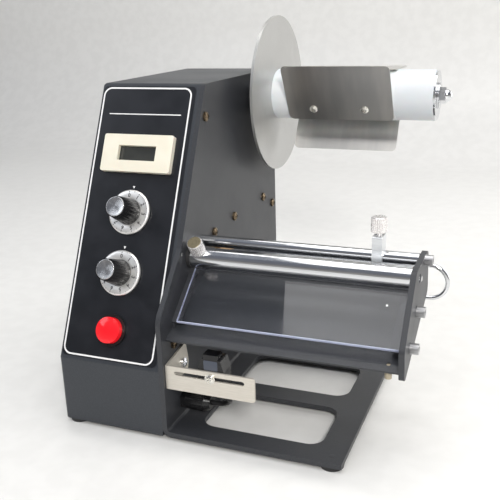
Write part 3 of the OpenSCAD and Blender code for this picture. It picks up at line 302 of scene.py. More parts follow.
def new_material(name):
    """A material with its node tree, its shader and the place on the object."""
    material = bpy.data.materials.new(name)
    material.use_nodes = True
    tree = material.node_tree
    place = tree.nodes.new("ShaderNodeTexCoord").outputs["Object"]
    return material, tree, tree.nodes["Principled BSDF"], place


def group(tree, name, place, **values):
    """One of the shader groups at a place, with its own values."""
    made = tree.nodes.new("ShaderNodeGroup")
    made.node_tree = GROUPS[name]
    tree.links.new(place, made.inputs["Vector"])
    for key, value in values.items():
        made.inputs[key].default_value = value
    return made


def mix_colours(tree, factor, first, second):
    """A colour between two, by a socket's value."""
    blend = tree.nodes.new("ShaderNodeMix")
    blend.data_type = "RGBA"
    blend.inputs[6].default_value = (*first, 1)
    blend.inputs[7].default_value = (*second, 1)
    tree.links.new(factor, blend.inputs[0])
    return blend.outputs[2]


def finish(name, colour, second, rough, texture, values=(), relief=0.0, depth=0.0001,
           marks=30.0, **fixed):
    """A finish that runs between two colours and two roughnesses, with a relief from its texture.

    rough is (low, high); fixed goes straight on the shader.
    """
    material, tree, shader, place = new_material(name)
    skin = group(tree, texture, place, **dict(values))
    touch = group(tree, "handling", place, Size=marks)
    tree.links.new(mix_colours(tree, skin.outputs["Shade"], colour, second), shader.inputs["Base Color"])
    low, high = rough
    mixed = calc(tree, "ADD", calc(tree, "MULTIPLY", touch.outputs["Mask"], 0.65),
                 calc(tree, "MULTIPLY", skin.outputs["Shade"], 0.35))
    tree.links.new(spread(tree, mixed, 0.0, 1.0, low, high), shader.inputs["Roughness"])
    if relief:
        bump = tree.nodes.new("ShaderNodeBump")
        bump.inputs["Strength"].default_value = relief
        bump.inputs["Distance"].default_value = depth
        tree.links.new(skin.outputs["Height"], bump.inputs["Height"])
        tree.links.new(bump.outputs["Normal"], shader.inputs["Normal"])
    for key, value in fixed.items():
        shader.inputs[key.replace("_", " ")].default_value = value
    if "Anisotropic" in fixed:
        round_z = tree.nodes.new("ShaderNodeTangent")
        round_z.direction_type = "RADIAL"
        round_z.axis = "Z"
        tree.links.new(round_z.outputs["Tangent"], shader.inputs["Tangent"])
    return material


SPOOL_AXIS = tuple(at(0, 192.5, 200.6))
TAKE_UP_AXIS = tuple(at(0, 98, 88))
ALONG_X = (1, 0, 0)

MATERIALS = {
    "case_paint": finish(
        "blue-grey powder coat, case", (0.030, 0.034, 0.041), (0.040, 0.045, 0.053), (0.40, 0.46), "powder",
        {"Grain": 1700.0}, 0.35, 0.00012, marks=14.0),
    "plate_paint": finish(
        "blue-grey powder coat, plates", (0.029, 0.031, 0.036), (0.040, 0.042, 0.048), (0.42, 0.48), "powder",
        {"Grain": 1500.0}, 0.4, 0.00012, marks=18.0),
    "panel_black": finish(
        "printed panel film", (0.009, 0.010, 0.013), (0.013, 0.014, 0.018), (0.32, 0.38), "moulded",
        {"Grain": 3200.0}, 0.12, 0.00005, marks=22.0, Specular_IOR_Level=0.38),
    "ivory": finish(
        "ivory moulding", (0.76, 0.72, 0.60), (0.80, 0.76, 0.64), (0.34, 0.46), "moulded",
        {"Grain": 2600.0}, 0.08, 0.00005, Subsurface_Weight=0.06, Subsurface_Scale=0.002),
    "black_plastic": finish(
        "black moulding", (0.008, 0.008, 0.009), (0.012, 0.012, 0.013), (0.24, 0.34), "moulded",
        {"Grain": 2400.0}, 0.10, 0.00005, Specular_IOR_Level=0.42),
    "window_pane": finish(
        "grey window pane", (0.040, 0.042, 0.040), (0.048, 0.050, 0.047), (0.10, 0.18), "moulded",
        {"Grain": 900.0}, 0.02, 0.00004),
    "zinc": finish(
        "yellow zinc plate", (0.56, 0.46, 0.30), (0.68, 0.60, 0.45), (0.24, 0.38), "brushed",
        {"Stretch": (900, 900, 900)}, 0.1, 0.00004, Metallic=1.0),
    "black_steel": finish(
        "blacked steel", (0.05, 0.05, 0.052), (0.09, 0.09, 0.09), (0.32, 0.45), "moulded",
        {"Grain": 1800.0}, 0.1, 0.00005, Metallic=1.0),
    "chrome": finish(
        "bright chrome", (0.68, 0.69, 0.71), (0.76, 0.77, 0.79), (0.10, 0.18), "brushed",
        {"Stretch": (25, 1100, 1100)}, 0.06, 0.00003, Metallic=1.0),
    "motor_steel": finish(
        "drawn steel", (0.42, 0.42, 0.43), (0.52, 0.52, 0.53), (0.25, 0.38), "brushed",
        {"Stretch": (60, 1400, 1400)}, 0.08, 0.00004, Metallic=1.0),
    "rubber": finish(
        "black rubber", (0.014, 0.014, 0.015), (0.022, 0.022, 0.023), (0.62, 0.78), "moulded",
        {"Grain": 1500.0}, 0.3, 0.0001),
    "bearing_bronze": finish(
        "bearing bronze", (0.45, 0.27, 0.12), (0.55, 0.36, 0.18), (0.28, 0.42), "turned",
        {"Centre": TAKE_UP_AXIS, "Axis": ALONG_X, "Rings": 3000.0}, 0.1, 0.00004, Metallic=1.0),
    "felt": finish(
        "grey felt", (0.16, 0.15, 0.14), (0.24, 0.23, 0.21), (0.85, 0.95), "powder",
        {"Grain": 2600.0}, 0.8, 0.0003, Sheen_Weight=0.3),
    "board_green": finish(
        "solder mask", (0.02, 0.13, 0.06), (0.03, 0.17, 0.08), (0.28, 0.36), "moulded",
        {"Grain": 1200.0}, 0.05, 0.00005),
    "cable_sheath": finish(
        "black lead sheath", (0.012, 0.012, 0.013), (0.020, 0.020, 0.021), (0.38, 0.5), "moulded",
        {"Grain": 2000.0}, 0.15, 0.00008),
    "white_nylon": finish(
        "white nylon", (0.69, 0.72, 0.75), (0.74, 0.77, 0.79), (0.34, 0.46), "turned",
        {"Centre": SPOOL_AXIS, "Axis": ALONG_X, "Rings": 900.0}, 0.06, 0.00006,
        Subsurface_Weight=0.12, Subsurface_Scale=0.004),
    "satin_aluminium": finish(
        "satin aluminium", (0.50, 0.50, 0.49), (0.56, 0.56, 0.55), (0.36, 0.48), "turned",
        {"Centre": SPOOL_AXIS, "Axis": ALONG_X, "Rings": 2600.0}, 0.10, 0.00004, Metallic=0.85),
    # The leaves' broad soft bands of lighter and darker colour across X are painted reflections of the
    # surroundings.
    "spring_steel": finish(
        "stainless leaf painted reflection bands", (0.56, 0.55, 0.53), (0.66, 0.64, 0.61), (0.30, 0.36), "brushed",
        {"Stretch": (55, 9, 9)}, Metallic=1.0),
    "spun_aluminium": finish(
        "spun aluminium", (0.58, 0.58, 0.58), (0.72, 0.72, 0.72), (0.22, 0.30), "turned",
        {"Rings": 3800.0}, 0.10, 0.00003, Metallic=1.0, Anisotropic=0.85),
    # The red cap's faint emission is a painted glow standing for light passing through the red plastic.
    "red_cap": finish(
        "red cap painted glow", (0.86, 0.010, 0.018), (0.90, 0.016, 0.022), (0.10, 0.18), "moulded",
        {"Grain": 700.0}, 0.03, 0.00005, Subsurface_Weight=0.15, Subsurface_Scale=0.003,
        Emission_Color=(1.0, 0.012, 0.02, 1), Emission_Strength=0.18),
    "nickel": finish(
        "satin nickel", (0.66, 0.62, 0.55), (0.71, 0.67, 0.60), (0.36, 0.46), "brushed",
        {"Stretch": (90, 1400, 1400)}, 0.03, 0.00003, Metallic=0.6),
}

# White of the panel's print, also used for painted glints.
PRINT_AND_GLINT_WHITE = finish("white print and painted glint", (0.80, 0.80, 0.80), (0.86, 0.86, 0.86), (0.42, 0.5), "moulded",
                     {"Grain": 3000.0}, 0.05, 0.00003)
DIAL_INK = finish("dial ink", (0.07, 0.07, 0.073), (0.10, 0.10, 0.10), (0.45, 0.55), "moulded",
                  {"Grain": 3000.0}, 0.05, 0.00003)
DIAL_METAL = finish("dial plate", (0.88, 0.87, 0.85), (0.93, 0.92, 0.90), (0.30, 0.38), "turned",
                    {"Rings": 3000.0}, 0.08, 0.00003, Metallic=0.75, Anisotropic=0.6)
SCREW_BROWN = finish("browned screw", (0.07, 0.052, 0.036), (0.26, 0.20, 0.13), (0.26, 0.38), "brushed",
                     {"Stretch": (900, 900, 900)}, 0.08, 0.00004, Metallic=1.0)
LENS_BLACK = finish("black lens", (0.004, 0.004, 0.005), (0.008, 0.008, 0.009), (0.08, 0.16), "moulded",
                    {"Grain": 1000.0}, 0.02, 0.00003)
LABEL_GREY = finish("grey label stock", (0.055, 0.065, 0.090), (0.070, 0.080, 0.105), (0.38, 0.48),
                    "moulded", {"Grain": 2200.0}, 0.06, 0.00004)
KNURL_CHROME = finish("knurled chrome", (0.88, 0.85, 0.84), (0.94, 0.92, 0.91), (0.26, 0.34), "brushed",
                      {"Stretch": (900, 900, 900)}, 0.05, 0.00003, Metallic=0.65)
# Tan colour for the lock screw's flat top: a painted reflection of the floor and painted shade, not tarnish.
PAINTED_REFLECTION_CHROME = finish("chrome top painted tan reflection", (0.24, 0.20, 0.12), (0.30, 0.26, 0.17), (0.26, 0.36), "turned",
                      {"Rings": 2600.0}, 0.05, 0.00003, Metallic=0.8)
MILLED_BLOCK = finish("milled aluminium", (0.72, 0.74, 0.76), (0.80, 0.82, 0.84), (0.30, 0.40), "brushed",
                      {"Stretch": (60, 1400, 1400)}, 0.05, 0.00003, Metallic=0.75)
PALE_SCREW = finish("nickel screw", (0.76, 0.74, 0.68), (0.84, 0.82, 0.77), (0.2, 0.32), "brushed",
                    {"Stretch": (900, 900, 900)}, 0.06, 0.00003, Metallic=0.9)
BEIGE_RUBBER = finish("beige rubber", (0.36, 0.31, 0.22), (0.44, 0.38, 0.28), (0.5, 0.62), "moulded",
                      {"Grain": 1800.0}, 0.15, 0.00006)


def clear_sheet(name):
    """Clear acrylic: plain transmission with faint wiping marks in its gloss."""
    material, tree, shader, place = new_material(name)
    shader.inputs["Transmission Weight"].default_value = 1.0
    shader.inputs["Metallic"].default_value = 0.0
    shader.inputs["IOR"].default_value = 1.49
    marks = group(tree, "handling", place, Size=26.0).outputs["Mask"]
    tree.links.new(spread(tree, marks, 0.0, 1.0, 0.012, 0.05), shader.inputs["Roughness"])
    tint = mix_colours(tree, marks, (0.93, 0.94, 0.97), (0.90, 0.91, 0.95))
    tree.links.new(tint, shader.inputs["Base Color"])
    return material


CLEAR = clear_sheet("clear acrylic")
# The sawn edges' pale blue colour and faint glow are a painted highlight: light caught in the acrylic's cut
# edges.
PAINTED_EDGE_GLOW = finish("acrylic edge painted highlight", (0.46, 0.50, 0.68), (0.60, 0.64, 0.80), (0.25, 0.4), "brushed",
                   {"Stretch": (60, 2500, 2500)}, 0.1, 0.00004, Emission_Color=(0.55, 0.58, 0.85, 1),
                   Emission_Strength=0.05)
MATERIALS["clear_acrylic"] = CLEAR

# Nodes whose finish differs from the rest of their slot
OWN_FINISH = {
    "side_screws": SCREW_BROWN,
    "tray_pin": BEIGE_RUBBER,
    "leaf_screws": PALE_SCREW,
    "outer_screws": MATERIALS["motor_steel"],
    "label_guide": MILLED_BLOCK,
    "sensor_screw": PALE_SCREW,
    "lock_screw": KNURL_CHROME,
    "guide_screw": KNURL_CHROME,
}

# Sheet pieces whose edges are rounded: radius in millimetres and segments
SOFT_EDGES = {
    "frame_plate": (0.45, 2),
    "outer_plate": (0.45, 2),
    "case_cover": (0.35, 2),
    "counter_bezel": (0.6, 3),
    "tray": (0.25, 2),
    "sensor_bracket": (0.2, 2),
}


def dress_nodes():
    """Every carried-over node takes the finish of its slot, or its own."""
    slot_of = {part["node"]: part["material_slot"] for part in frame["record"]["subparts"]}
    for name, obj in nodes.items():
        material = OWN_FINISH.get(name, MATERIALS[slot_of[name]])
        for index in range(len(obj.material_slots)):
            obj.material_slots[index].material = material


def soften_edges(name, width, segments):
    """Rounds a node's edges for the light, leaving its mesh as it is."""
    obj = nodes[name]
    weld = obj.modifiers.new("closed skin", "WELD")
    weld.merge_threshold = 1e-6
    bevel = obj.modifiers.new("rounded edges", "BEVEL")
    bevel.width = width * MM
    bevel.segments = segments
    bevel.limit_method = "ANGLE"
    bevel.angle_limit = math.radians(35)
    bevel.harden_normals = True
    bevel.use_clamp_overlap = True


# ---------- mesh pieces ----------


def piece(name, make, materials, body, place=Matrix(), smooth=35.0):
    """A mesh piece made in millimetres by make(bm), put in place and ridden on its body, if it has one."""
    mesh = bpy.data.meshes.new(name)
    bm = bmesh.new()
    make(bm)
    bmesh.ops.scale(bm, vec=(MM, MM, MM), verts=bm.verts)
    bmesh.ops.recalc_face_normals(bm, faces=bm.faces)
    bm.to_mesh(mesh)
    bm.free()
    mesh.polygons.foreach_set("use_smooth", [True] * len(mesh.polygons))
    mesh.set_sharp_from_angle(angle=math.radians(smooth))
    obj = bpy.data.objects.new(name, mesh)
    bpy.context.collection.objects.link(obj)
    for material in materials if isinstance(materials, (list, tuple)) else [materials]:
        mesh.materials.append(material)
    obj.matrix_world = place
    if body:
        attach(obj, body)
    return obj


def turn(bm, profile, steps=48, teeth=0, depth=0.0):
    """A lathe form from (radius, height) points; a point may add True where the knurl cuts it."""
    rings = []
    for point in profile:
        radius, height = point[0], point[1]
        cut = depth if len(point) > 2 and point[2] else 0.0
        if radius == 0:
            rings.append([bm.verts.new((0, 0, height))])
            continue
        ring = []
        for step in range(steps):
            angle = 2 * math.pi * step / steps
            r = radius - cut * (0.5 - 0.5 * math.cos(angle * teeth))
            ring.append(bm.verts.new((r * math.cos(angle), r * math.sin(angle), height)))
        rings.append(ring)
    for low, high in zip(rings, rings[1:]):
        for step in range(steps):
            nxt = (step + 1) % steps
            if len(low) == 1 and len(high) == 1:
                continue
            if len(low) == 1:
                bm.faces.new((low[0], high[nxt], high[step]))
            elif len(high) == 1:
                bm.faces.new((low[step], low[nxt], high[0]))
            else:
                bm.faces.new((low[step], low[nxt], high[nxt], high[step]))


def round_box(width, height, radius, steps, centre=(0, 0)):
    """The outline of a rectangle with round corners."""
    ring = []
    for cx, cy, start in ((1, 1, 0), (-1, 1, 90), (-1, -1, 180), (1, -1, 270)):
        for step in range(steps + 1):
            angle = math.radians(start + 90 * step / steps)
            ring.append((centre[0] + cx * (width / 2 - radius) + radius * math.cos(angle),
                         centre[1] + cy * (height / 2 - radius) + radius * math.sin(angle)))
    return ring


def prism(bm, outline, low, high):
    """A flat outline as a solid, from one level to another."""
    bottom = [bm.verts.new((x, y, low)) for x, y in outline]
    top = [bm.verts.new((x, y, high)) for x, y in outline]
    bm.faces.new(list(reversed(bottom)))
    bm.faces.new(top)
    for index in range(len(outline)):
        nxt = (index + 1) % len(outline)
        bm.faces.new((bottom[index], bottom[nxt], top[nxt], top[index]))


def slab(bm, width, height, low, high, radius=0.6, steps=4, centre=(0, 0)):
    """A plate with round corners, from one level to another."""
    prism(bm, round_box(width, height, radius, steps, centre), low, high)


def frame_line(bm, width, height, line, corner, low, high):
    """A flat rounded rectangle of one line, from one level to another."""
    rings = [round_box(width - 2 * inset, height - 2 * inset, corner - inset, 10) for inset in (0, line)]
    levels = [[[bm.verts.new((x, y, z)) for x, y in ring] for ring in rings] for z in (low, high)]
    (a, b), (c, d) = levels
    for index in range(len(a)):
        nxt = (index + 1) % len(a)
        bm.faces.new((c[index], c[nxt], d[nxt], d[index]))
        bm.faces.new((a[nxt], a[index], b[index], b[nxt]))
        bm.faces.new((a[index], a[nxt], c[nxt], c[index]))
        bm.faces.new((b[nxt], b[index], d[index], d[nxt]))


def numeral(bm, digit, size, place, low, high):
    """A plain upright numeral as a thin solid, set by a matrix in millimetres."""
    curve = bpy.data.curves.new("numeral", "FONT")
    curve.body = str(digit)
    curve.size = size
    curve.align_x = "CENTER"
    curve.align_y = "CENTER"
    curve.resolution_u = 3
    curve.extrude = (high - low) / 2
    curve.offset = 0.12
    holder = bpy.data.objects.new("numeral", curve)
    mesh = holder.to_mesh()
    part = bmesh.new()
    part.from_mesh(mesh)
    part.transform(place @ Matrix.Translation((0, 0, (low + high) / 2)))
    flat = bpy.data.meshes.new("numeral")
    part.to_mesh(flat)
    part.free()
    bm.from_mesh(flat)
    holder.to_mesh_clear()
    bpy.data.objects.remove(holder)
    bpy.data.curves.remove(curve)
    bpy.data.meshes.remove(flat)


# ---------- sensor lead ----------

LEAD_ROUTE = [
    (18, 27, 11.5), (23, 27, 11.5), (29, 27, 12), (34, 25, 15), (37, 21, 19.5),
    (36.6, 16.5, 23.5), (34.2, 12.4, 26.3), (32.2, 10.3, 29.4), (32, 10.2, 33.4),
]


def smooth_route(points, steps):
    """Points of a smooth curve through a route."""
    ends = [points[0]] + list(points) + [points[-1]]
    line = []
    for index in range(len(points) - 1):
        p0, p1, p2, p3 = (Vector(p) for p in ends[index:index + 4])
        for step in range(steps):
            t = step / steps
            line.append((2 * p1 + (p2 - p0) * t + (2 * p0 - 5 * p1 + 4 * p2 - p3) * t * t
                         + (3 * p1 - p0 - 3 * p2 + p3) * t ** 3) / 2)
    line.append(Vector(points[-1]))
    return line


def tube(bm, line, radius, sides=16):
    """A round tube along a line, closed at both ends."""
    rings = []
    across = Vector((0, 0, 1))
    for index, point in enumerate(line):
        ahead = (line[min(index + 1, len(line) - 1)] - line[max(index - 1, 0)]).normalized()
        across = (across - ahead * across.dot(ahead)).normalized()
        other = ahead.cross(across)
        rings.append([bm.verts.new(point + (across * math.cos(a) + other * math.sin(a)) * radius)
                      for a in (2 * math.pi * k / sides for k in range(sides))])
    for low, high in zip(rings, rings[1:]):
        for k in range(sides):
            nxt = (k + 1) % sides
            bm.faces.new((low[k], low[nxt], high[nxt], high[k]))
    bm.faces.new(list(reversed(rings[0])))
    bm.faces.new(rings[-1])


def sensor_lead():
    """The lead from the gland to the foot of the sensor, at its real length."""
    line = smooth_route(LEAD_ROUTE, 8)
    lead = piece("sensor_lead", lambda bm: tube(bm, line, LEAD_D / 2), MATERIALS["cable_sheath"],
                 None, Matrix.Translation(at(0, 0, 0)))
    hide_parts("sensor_cable")
    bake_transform(lead)


# ---------- panel ----------


def panel_print():
    """The white border line and pointers printed on the panel film."""
    left, right, low, high = -77.45, -8.45, 3.1, 191.8
    line, corner = 1.1, 6.0

    def border(bm):
        frame_line(bm, right - left, high - low, line, corner, FILM_TOP, FILM_TOP + PRINT_T)

    piece("border_line", border, PRINT_AND_GLINT_WHITE, "frame",
          on_panel((left + right) / 2, (low + high) / 2))

    def pointers(bm):
        for v in (LENGTH_V, SPEED_V):
            tip = v - SPEED_V + DIAL_R + 0.9
            outline = ((0, tip), (0.95, tip + 2.0), (-0.95, tip + 2.0))
            prism(bm, outline, FILM_TOP, FILM_TOP + PRINT_T)

    piece("dial_pointers", pointers, PRINT_AND_GLINT_WHITE, "frame", on_panel(CONTROL_X, SPEED_V))

    rule_x, rule_v, rule_w, rule_t = -42.5, 172.5, 56, 0.7

    def rule(bm):
        slab(bm, rule_w, rule_t, FILM_TOP, FILM_TOP + PRINT_T, 0.3, 3)

    piece("rule_line", rule, PRINT_AND_GLINT_WHITE, "frame", on_panel(rule_x, rule_v))


def dial_marks(knob, v, start):
    """Ticks and the numerals 0 to 9 on a dial, which turn with its knob."""
    top = FILM_TOP + DIAL_LIFT + DIAL_T
    low, high = top - 0.02, top + 0.05
    digit_step, digit_r, digit_size = 33.3, 11.3, 3.6

    def marks(bm):
        for digit in range(10):
            angle = math.radians(start - digit * digit_step)
            spot = Matrix.Rotation(angle - math.pi / 2, 4, "Z") @ Matrix.Translation((0, digit_r, 0))
            numeral(bm, digit, digit_size, spot, low, high)
        for tick in range(19):
            angle = math.radians(start - tick * digit_step / 2)
            inner, wide = (13.7, 0.12) if tick % 2 else (13.3, 0.2)
            outer = 14.3
            c, s = math.cos(angle), math.sin(angle)
            corners = ((inner, -wide), (outer, -wide), (outer, wide), (inner, wide))
            prism(bm, [(r * c - w * s, r * s + w * c) for r, w in corners], low, high)

    piece(knob + "_dial_marks", marks, DIAL_INK, knob + "_control_knob",
          on_panel(CONTROL_X, v))


def dial_plate(knob, v):
    """The metal skirt under a knob, its rim bevelled and milled."""
    bore_r = 9.02

    def plate(bm):
        profile = [
            (bore_r, 0), (DIAL_R - 0.2, 0), (DIAL_R, 0.15, True), (DIAL_R, 1.05, True),
            (DIAL_R - 0.15, 1.25), (DIAL_R - 0.95, 1.93), (DIAL_R - 1.15, DIAL_T),
            (bore_r + 0.28, DIAL_T), (bore_r, DIAL_T - 0.1), (bore_r, 0),
        ]
        turn(bm, profile, 240, 60, 0.18)

    made = piece(knob + "_dial_plate", plate, DIAL_METAL, knob + "_control_knob",
                 on_panel(CONTROL_X, v, FILM_TOP + DIAL_LIFT), 30)
    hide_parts(knob + "_dial")


def spun_cap(knob, v):
    """The knob's spun metal cap, with a rolled rim and a flat top."""
    def cap(bm):
        profile = [
            (0, 0), (CAP_R - 0.1, 0), (CAP_R, 0.1), (CAP_R, 0.5), (CAP_R - 0.1, 0.66),
            (CAP_R - 0.25, 0.72), (CAP_R - 0.5, 0.72), (CAP_R - 0.65, 0.68), (0.5, 0.68), (0, 0.67),
        ]
        turn(bm, profile, 96)

    made = piece(knob + "_spun_cap", cap, MATERIALS["spun_aluminium"], knob + "_control_knob",
                 on_panel(CONTROL_X, v, FILM_TOP + KNOB_H), 50)
    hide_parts(knob + "_cap")


def counter_pane():
    """The counter's grey pane, set back against the counter's face."""
    width, height, low, high = 32.6, 14.2, 0.02, 0.35

    def pane(bm):
        slab(bm, width, height, low, high, 0.5)

    made = piece("counter_pane", pane, MATERIALS["window_pane"], "frame",
                 on_panel(CONTROL_X, COUNTER_V, FILM_TOP))
    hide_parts("counter_window")


def panel_pieces():
    """The panel's print, the counter's pane, and both knobs' plates, marks and caps."""
    panel_print()
    counter_pane()
    for knob, v, _ in KNOBS:
        dial_plate(knob, v)
    for knob, v, start in KNOBS:
        dial_marks(knob, v, start)
    for knob, v, _ in KNOBS:
        spun_cap(knob, v)


# ---------- bars, guide and peel plate ----------


def acrylic_sheet():
    """The clear peel plate, its sawn edges given a faintly glowing painted highlight."""
    width, length, thick, chamfer = 144.5, 41.2, 3.0, 0.35
    rear_side = 2

    def sheet(bm):
        rings = []
        for inset, z in ((chamfer, -thick), (0, -thick + chamfer), (0, -chamfer), (chamfer, 0)):
            left, right, front, back = inset, width - inset, inset, length - inset
            corners = ((left, front), (right, front), (right, back), (left, back))
            rings.append([bm.verts.new((x, y, z)) for x, y in corners])
        bm.faces.new(list(reversed(rings[0])))
        bm.faces.new(rings[-1])
        for low, high in zip(rings, rings[1:]):
            for k in range(4):
                n = (k + 1) % 4
                side = bm.faces.new((low[k], low[n], high[n], high[k]))
                # Every side but the rear takes the painted edge highlight.
                side.material_index = 0 if k == rear_side else 1

    place = Matrix.Translation(at(*PEEL_START)) @ Matrix.Rotation(PEEL_SLOPE, 4, "X")
    made = piece("acrylic_sheet", sheet, [CLEAR, PAINTED_EDGE_GLOW], "frame", place, 20)
    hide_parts("peel_plate")

    # A white disc on the clear plate: a painted highlight standing for the glint of a small screw head.
    def dot(bm):
        turn(bm, [(0, 0), (0.75, 0), (0.75, 0.06), (0.55, 0.08), (0, 0.08)], 32)

    dot_at = at(136.6, 35.5, 93.0)
    piece("sheet_screw_glint", dot, PRINT_AND_GLINT_WHITE, "frame",
          facing(dot_at, (0, -math.sin(PEEL_SLOPE), math.cos(PEEL_SLOPE))))


def tray_back_sheet():
    """The tray's floor, carried on under the peel plate to the case."""
    width, length, thick, middle = 149.4, 17.5, 1.5, (75, 66.25)

    def sheet(bm):
        slab(bm, width, length, -thick, 0, 0.4, 2, middle)

    piece("tray_back_sheet", sheet, MATERIALS["plate_paint"], "frame",
          Matrix.Translation(at(*TRAY_START)) @ Matrix.Rotation(TRAY_SLOPE, 4, "X"), 30)


def stud_covers():
    """The plate's paint carried over the ends of the feet's studs."""
    def cap(bm):
        r = STUD_HOLE_R
        turn(bm, [(0, -0.5), (r, -0.5), (r, 0.0), (r - 0.1, 0.02), (0, 0.02)], 32)

    for name, x, y in STUDS:
        piece("stud_cap_" + name, cap, MATERIALS["plate_paint"], "frame",
              Matrix.Translation(at(x, y, 0)), 30)


def knurled_sleeve(name, body, place, neck, top):
    """Fine straight knurl over a thumbscrew's head, with a separate material on the flat top, which for the
    lock screw is a painted tan reflection.
    """
    teeth = 24

    def sleeve(bm):
        low, high = neck - 0.05, neck + HEAD_H
        rim_r = HEAD_R + 0.05
        profile = [
            (0, low), (HEAD_R - 0.7, low), (rim_r, low + 0.5, True), (rim_r, high - 0.7, True),
            (HEAD_R - 0.5, high - 0.1), (HEAD_R - 0.7, high + 0.03), (0, high + 0.05),
        ]
        turn(bm, profile, teeth * 8, teeth, 0.5)

    head = piece(name, sleeve, [KNURL_CHROME, top], body, place, 28)
    top_start = (neck + HEAD_H - 0.3) * MM
    for face in head.data.polygons:
        if face.center.z > top_start:
            face.material_index = 1


def thumbscrew_heads():
    """The heads of the front bar's lock screw and of the guide's screw."""
    up = (0, -math.sin(LOCK_LEAN), math.cos(LOCK_LEAN))
    bar_top = at(*BAR_SCREW_SEAT) + Vector(up) * BAR_R * MM
    # The lock screw's flat top takes the painted tan reflection.
    knurled_sleeve("lock_screw_knurl", "bar_lock", facing(bar_top, up), 0.2, PAINTED_REFLECTION_CHROME)
    guide_top = at(*GUIDE_SCREW_SEAT)
    knurled_sleeve("guide_screw_knurl", "guide_lock", facing(guide_top, (0, 0, 1)), 2.3, KNURL_CHROME)


def sensor_pieces():
    """Blank label stock on the sensor's face and a dark lens block on its top."""
    def label(bm):
        slab(bm, 9.6, 6.6, 0, 0.12, 0.8)

    piece("sensor_label", label, LABEL_GREY, "sensor",
          facing(at(SENSOR_X, 4.14, 51.4), (0, -1, 0)))

    def lens(bm):
        slab(bm, 10.3, 8.3, -0.1, 3.1, 0.8)
        slab(bm, 9.3, 7.3, 3.1, 3.3, 0.6)

    piece("sensor_lens", lens, LENS_BLACK, "sensor",
          facing(at(SENSOR_X, 8.12, 55.6), (0, 0, 1)))


def gland_ribs():
    """Grip ribs round the lead's gland."""
    def ribs(bm):
        turn(bm, [(6.75, 4.2), (6.95, 4.3, True), (6.95, 16.4, True), (6.75, 16.6)], 180, 30, 0.5)

    piece("gland_ribs", ribs, MATERIALS["black_plastic"], "frame",
          facing(at(*GLAND_AT), ALONG_X), 60)


def bar_end_dimple():
    """The small dimple that shows on the outer plate at the front bar's end."""
    def dimple(bm):
        turn(bm, [(0, 0.02), (0.9, 0.02), (1.25, 0.1), (1.45, 0.12), (1.7, 0.0)], 32)

    piece("bar_end_dimple", dimple, PRINT_AND_GLINT_WHITE, "frame", facing(at(*BAR_END_AT), ALONG_X))


# ---------- stage ----------


def stage_set():
    """A plain pale floor that sweeps up into a pale wall."""
    reach, bend_y, bend_r, wall_top = 9.0, 0.75, 0.25, 4.0
    bm = bmesh.new()
    profile = [(-reach, 0.0), (bend_y, 0.0)]
    for step in range(1, 13):
        angle = math.pi / 2 * step / 12
        profile.append((bend_y + bend_r * math.sin(angle), bend_r - bend_r * math.cos(angle)))
    profile.append((bend_y + bend_r, wall_top))
    rows = [[bm.verts.new((x, y, z)) for y, z in profile] for x in (-reach, reach)]
    for k in range(len(profile) - 1):
        bm.faces.new((rows[0][k], rows[1][k], rows[1][k + 1], rows[0][k + 1]))
    mesh = bpy.data.meshes.new("floor")
    bm.to_mesh(mesh)
    bm.free()
    mesh.polygons.foreach_set("use_smooth", [True] * len(mesh.polygons))
    floor = bpy.data.objects.new("floor", mesh)
    bpy.context.collection.objects.link(floor)
    mesh.materials.append(finish("pale stone floor", (0.80, 0.795, 0.775), (0.83, 0.825, 0.805), (0.3, 0.45),
                                 "moulded", {"Grain": 14.0}, marks=5.0))


def area_light(name, spot, target, size, power, colour):
    """A rectangular light at a spot, turned to a target."""
    light = bpy.data.lights.new(name, "AREA")
    light.shape = "RECTANGLE"
    light.size, light.size_y = size
    light.energy = power
    light.color = colour
    obj = bpy.data.objects.new(name, light)
    bpy.context.collection.objects.link(obj)
    spot, target = Vector(spot), Vector(target)
    aim = (target - spot).to_track_quat("-Z", "Y").to_matrix().to_4x4()
    obj.matrix_world = Matrix.Translation(spot) @ aim


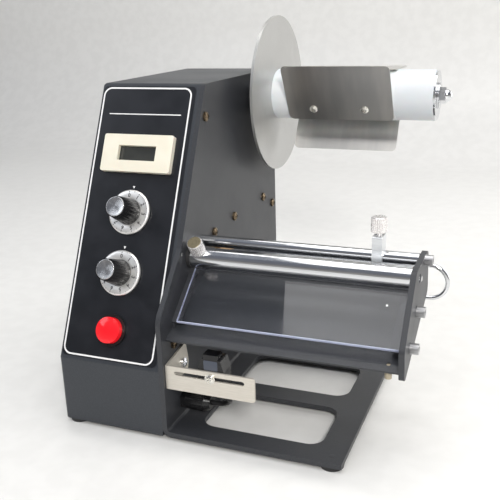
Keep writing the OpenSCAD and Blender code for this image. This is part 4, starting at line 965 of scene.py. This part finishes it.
def lights():
    """A wide soft ceiling panel, a front key, fills at both sides and a dim room."""
    world = bpy.data.worlds.new("studio")
    world.use_nodes = True
    tree = world.node_tree
    sky = tree.nodes["Background"]
    view = tree.nodes.new("ShaderNodeTexCoord")
    parts = tree.nodes.new("ShaderNodeSeparateXYZ")
    tree.links.new(view.outputs["Generated"], parts.inputs[0])
    height = calc(tree, "MULTIPLY_ADD", parts.outputs["Z"], 0.5, 0.5)
    ramp = tree.nodes.new("ShaderNodeValToRGB")
    stops = ramp.color_ramp.elements
    stops[0].position, stops[0].color = 0.0, (0.50, 0.49, 0.47, 1)
    stops[1].position, stops[1].color = 1.0, (0.30, 0.32, 0.36, 1)
    room = ((0.50, (0.42, 0.40, 0.37, 1)), (0.62, (0.20, 0.20, 0.21, 1)), (0.78, (0.16, 0.17, 0.20, 1)))
    for spot, colour in room:
        stops.new(spot).color = colour
    tree.links.new(height, ramp.inputs["Fac"])
    tree.links.new(ramp.outputs["Color"], sky.inputs["Color"])
    sky.inputs["Strength"].default_value = 1.0
    bpy.context.scene.world = world
    area_light("ceiling", (0.30, -0.25, 1.4), (0.30, -0.25, 0.0), (1.4, 1.5), 12.0, (1.0, 0.99, 0.97))
    area_light("key", (0.55, -1.05, 0.80), (0.0, 0.0, 0.1), (0.25, 0.25), 11.0, (1.0, 0.98, 0.95))
    area_light("right back", (0.62, 0.42, 0.30), (0.0, 0.08, 0.15), (0.5, 0.5), 1.5, (1.0, 0.98, 0.96))
    area_light("left", (-1.1, -0.6, 0.9), (0.0, 0.0, 0.1), (0.6, 0.6), 3.0, (0.88, 0.93, 1.0))
    area_light("wall wash", (0.0, 0.3, 1.6), (0.0, 0.95, 0.3), (1.6, 0.4), 5.0, (1.0, 0.98, 0.95))


place_camera()
sensor_lead()
dress_nodes()
for soft_node, (edge_r, edge_steps) in SOFT_EDGES.items():
    soften_edges(soft_node, edge_r, edge_steps)
panel_pieces()
acrylic_sheet()
tray_back_sheet()
stud_covers()
thumbscrew_heads()
sensor_pieces()
gland_ribs()
bar_end_dimple()
stage_set()
lights()
bpy.context.scene.view_settings.view_transform = "Standard"
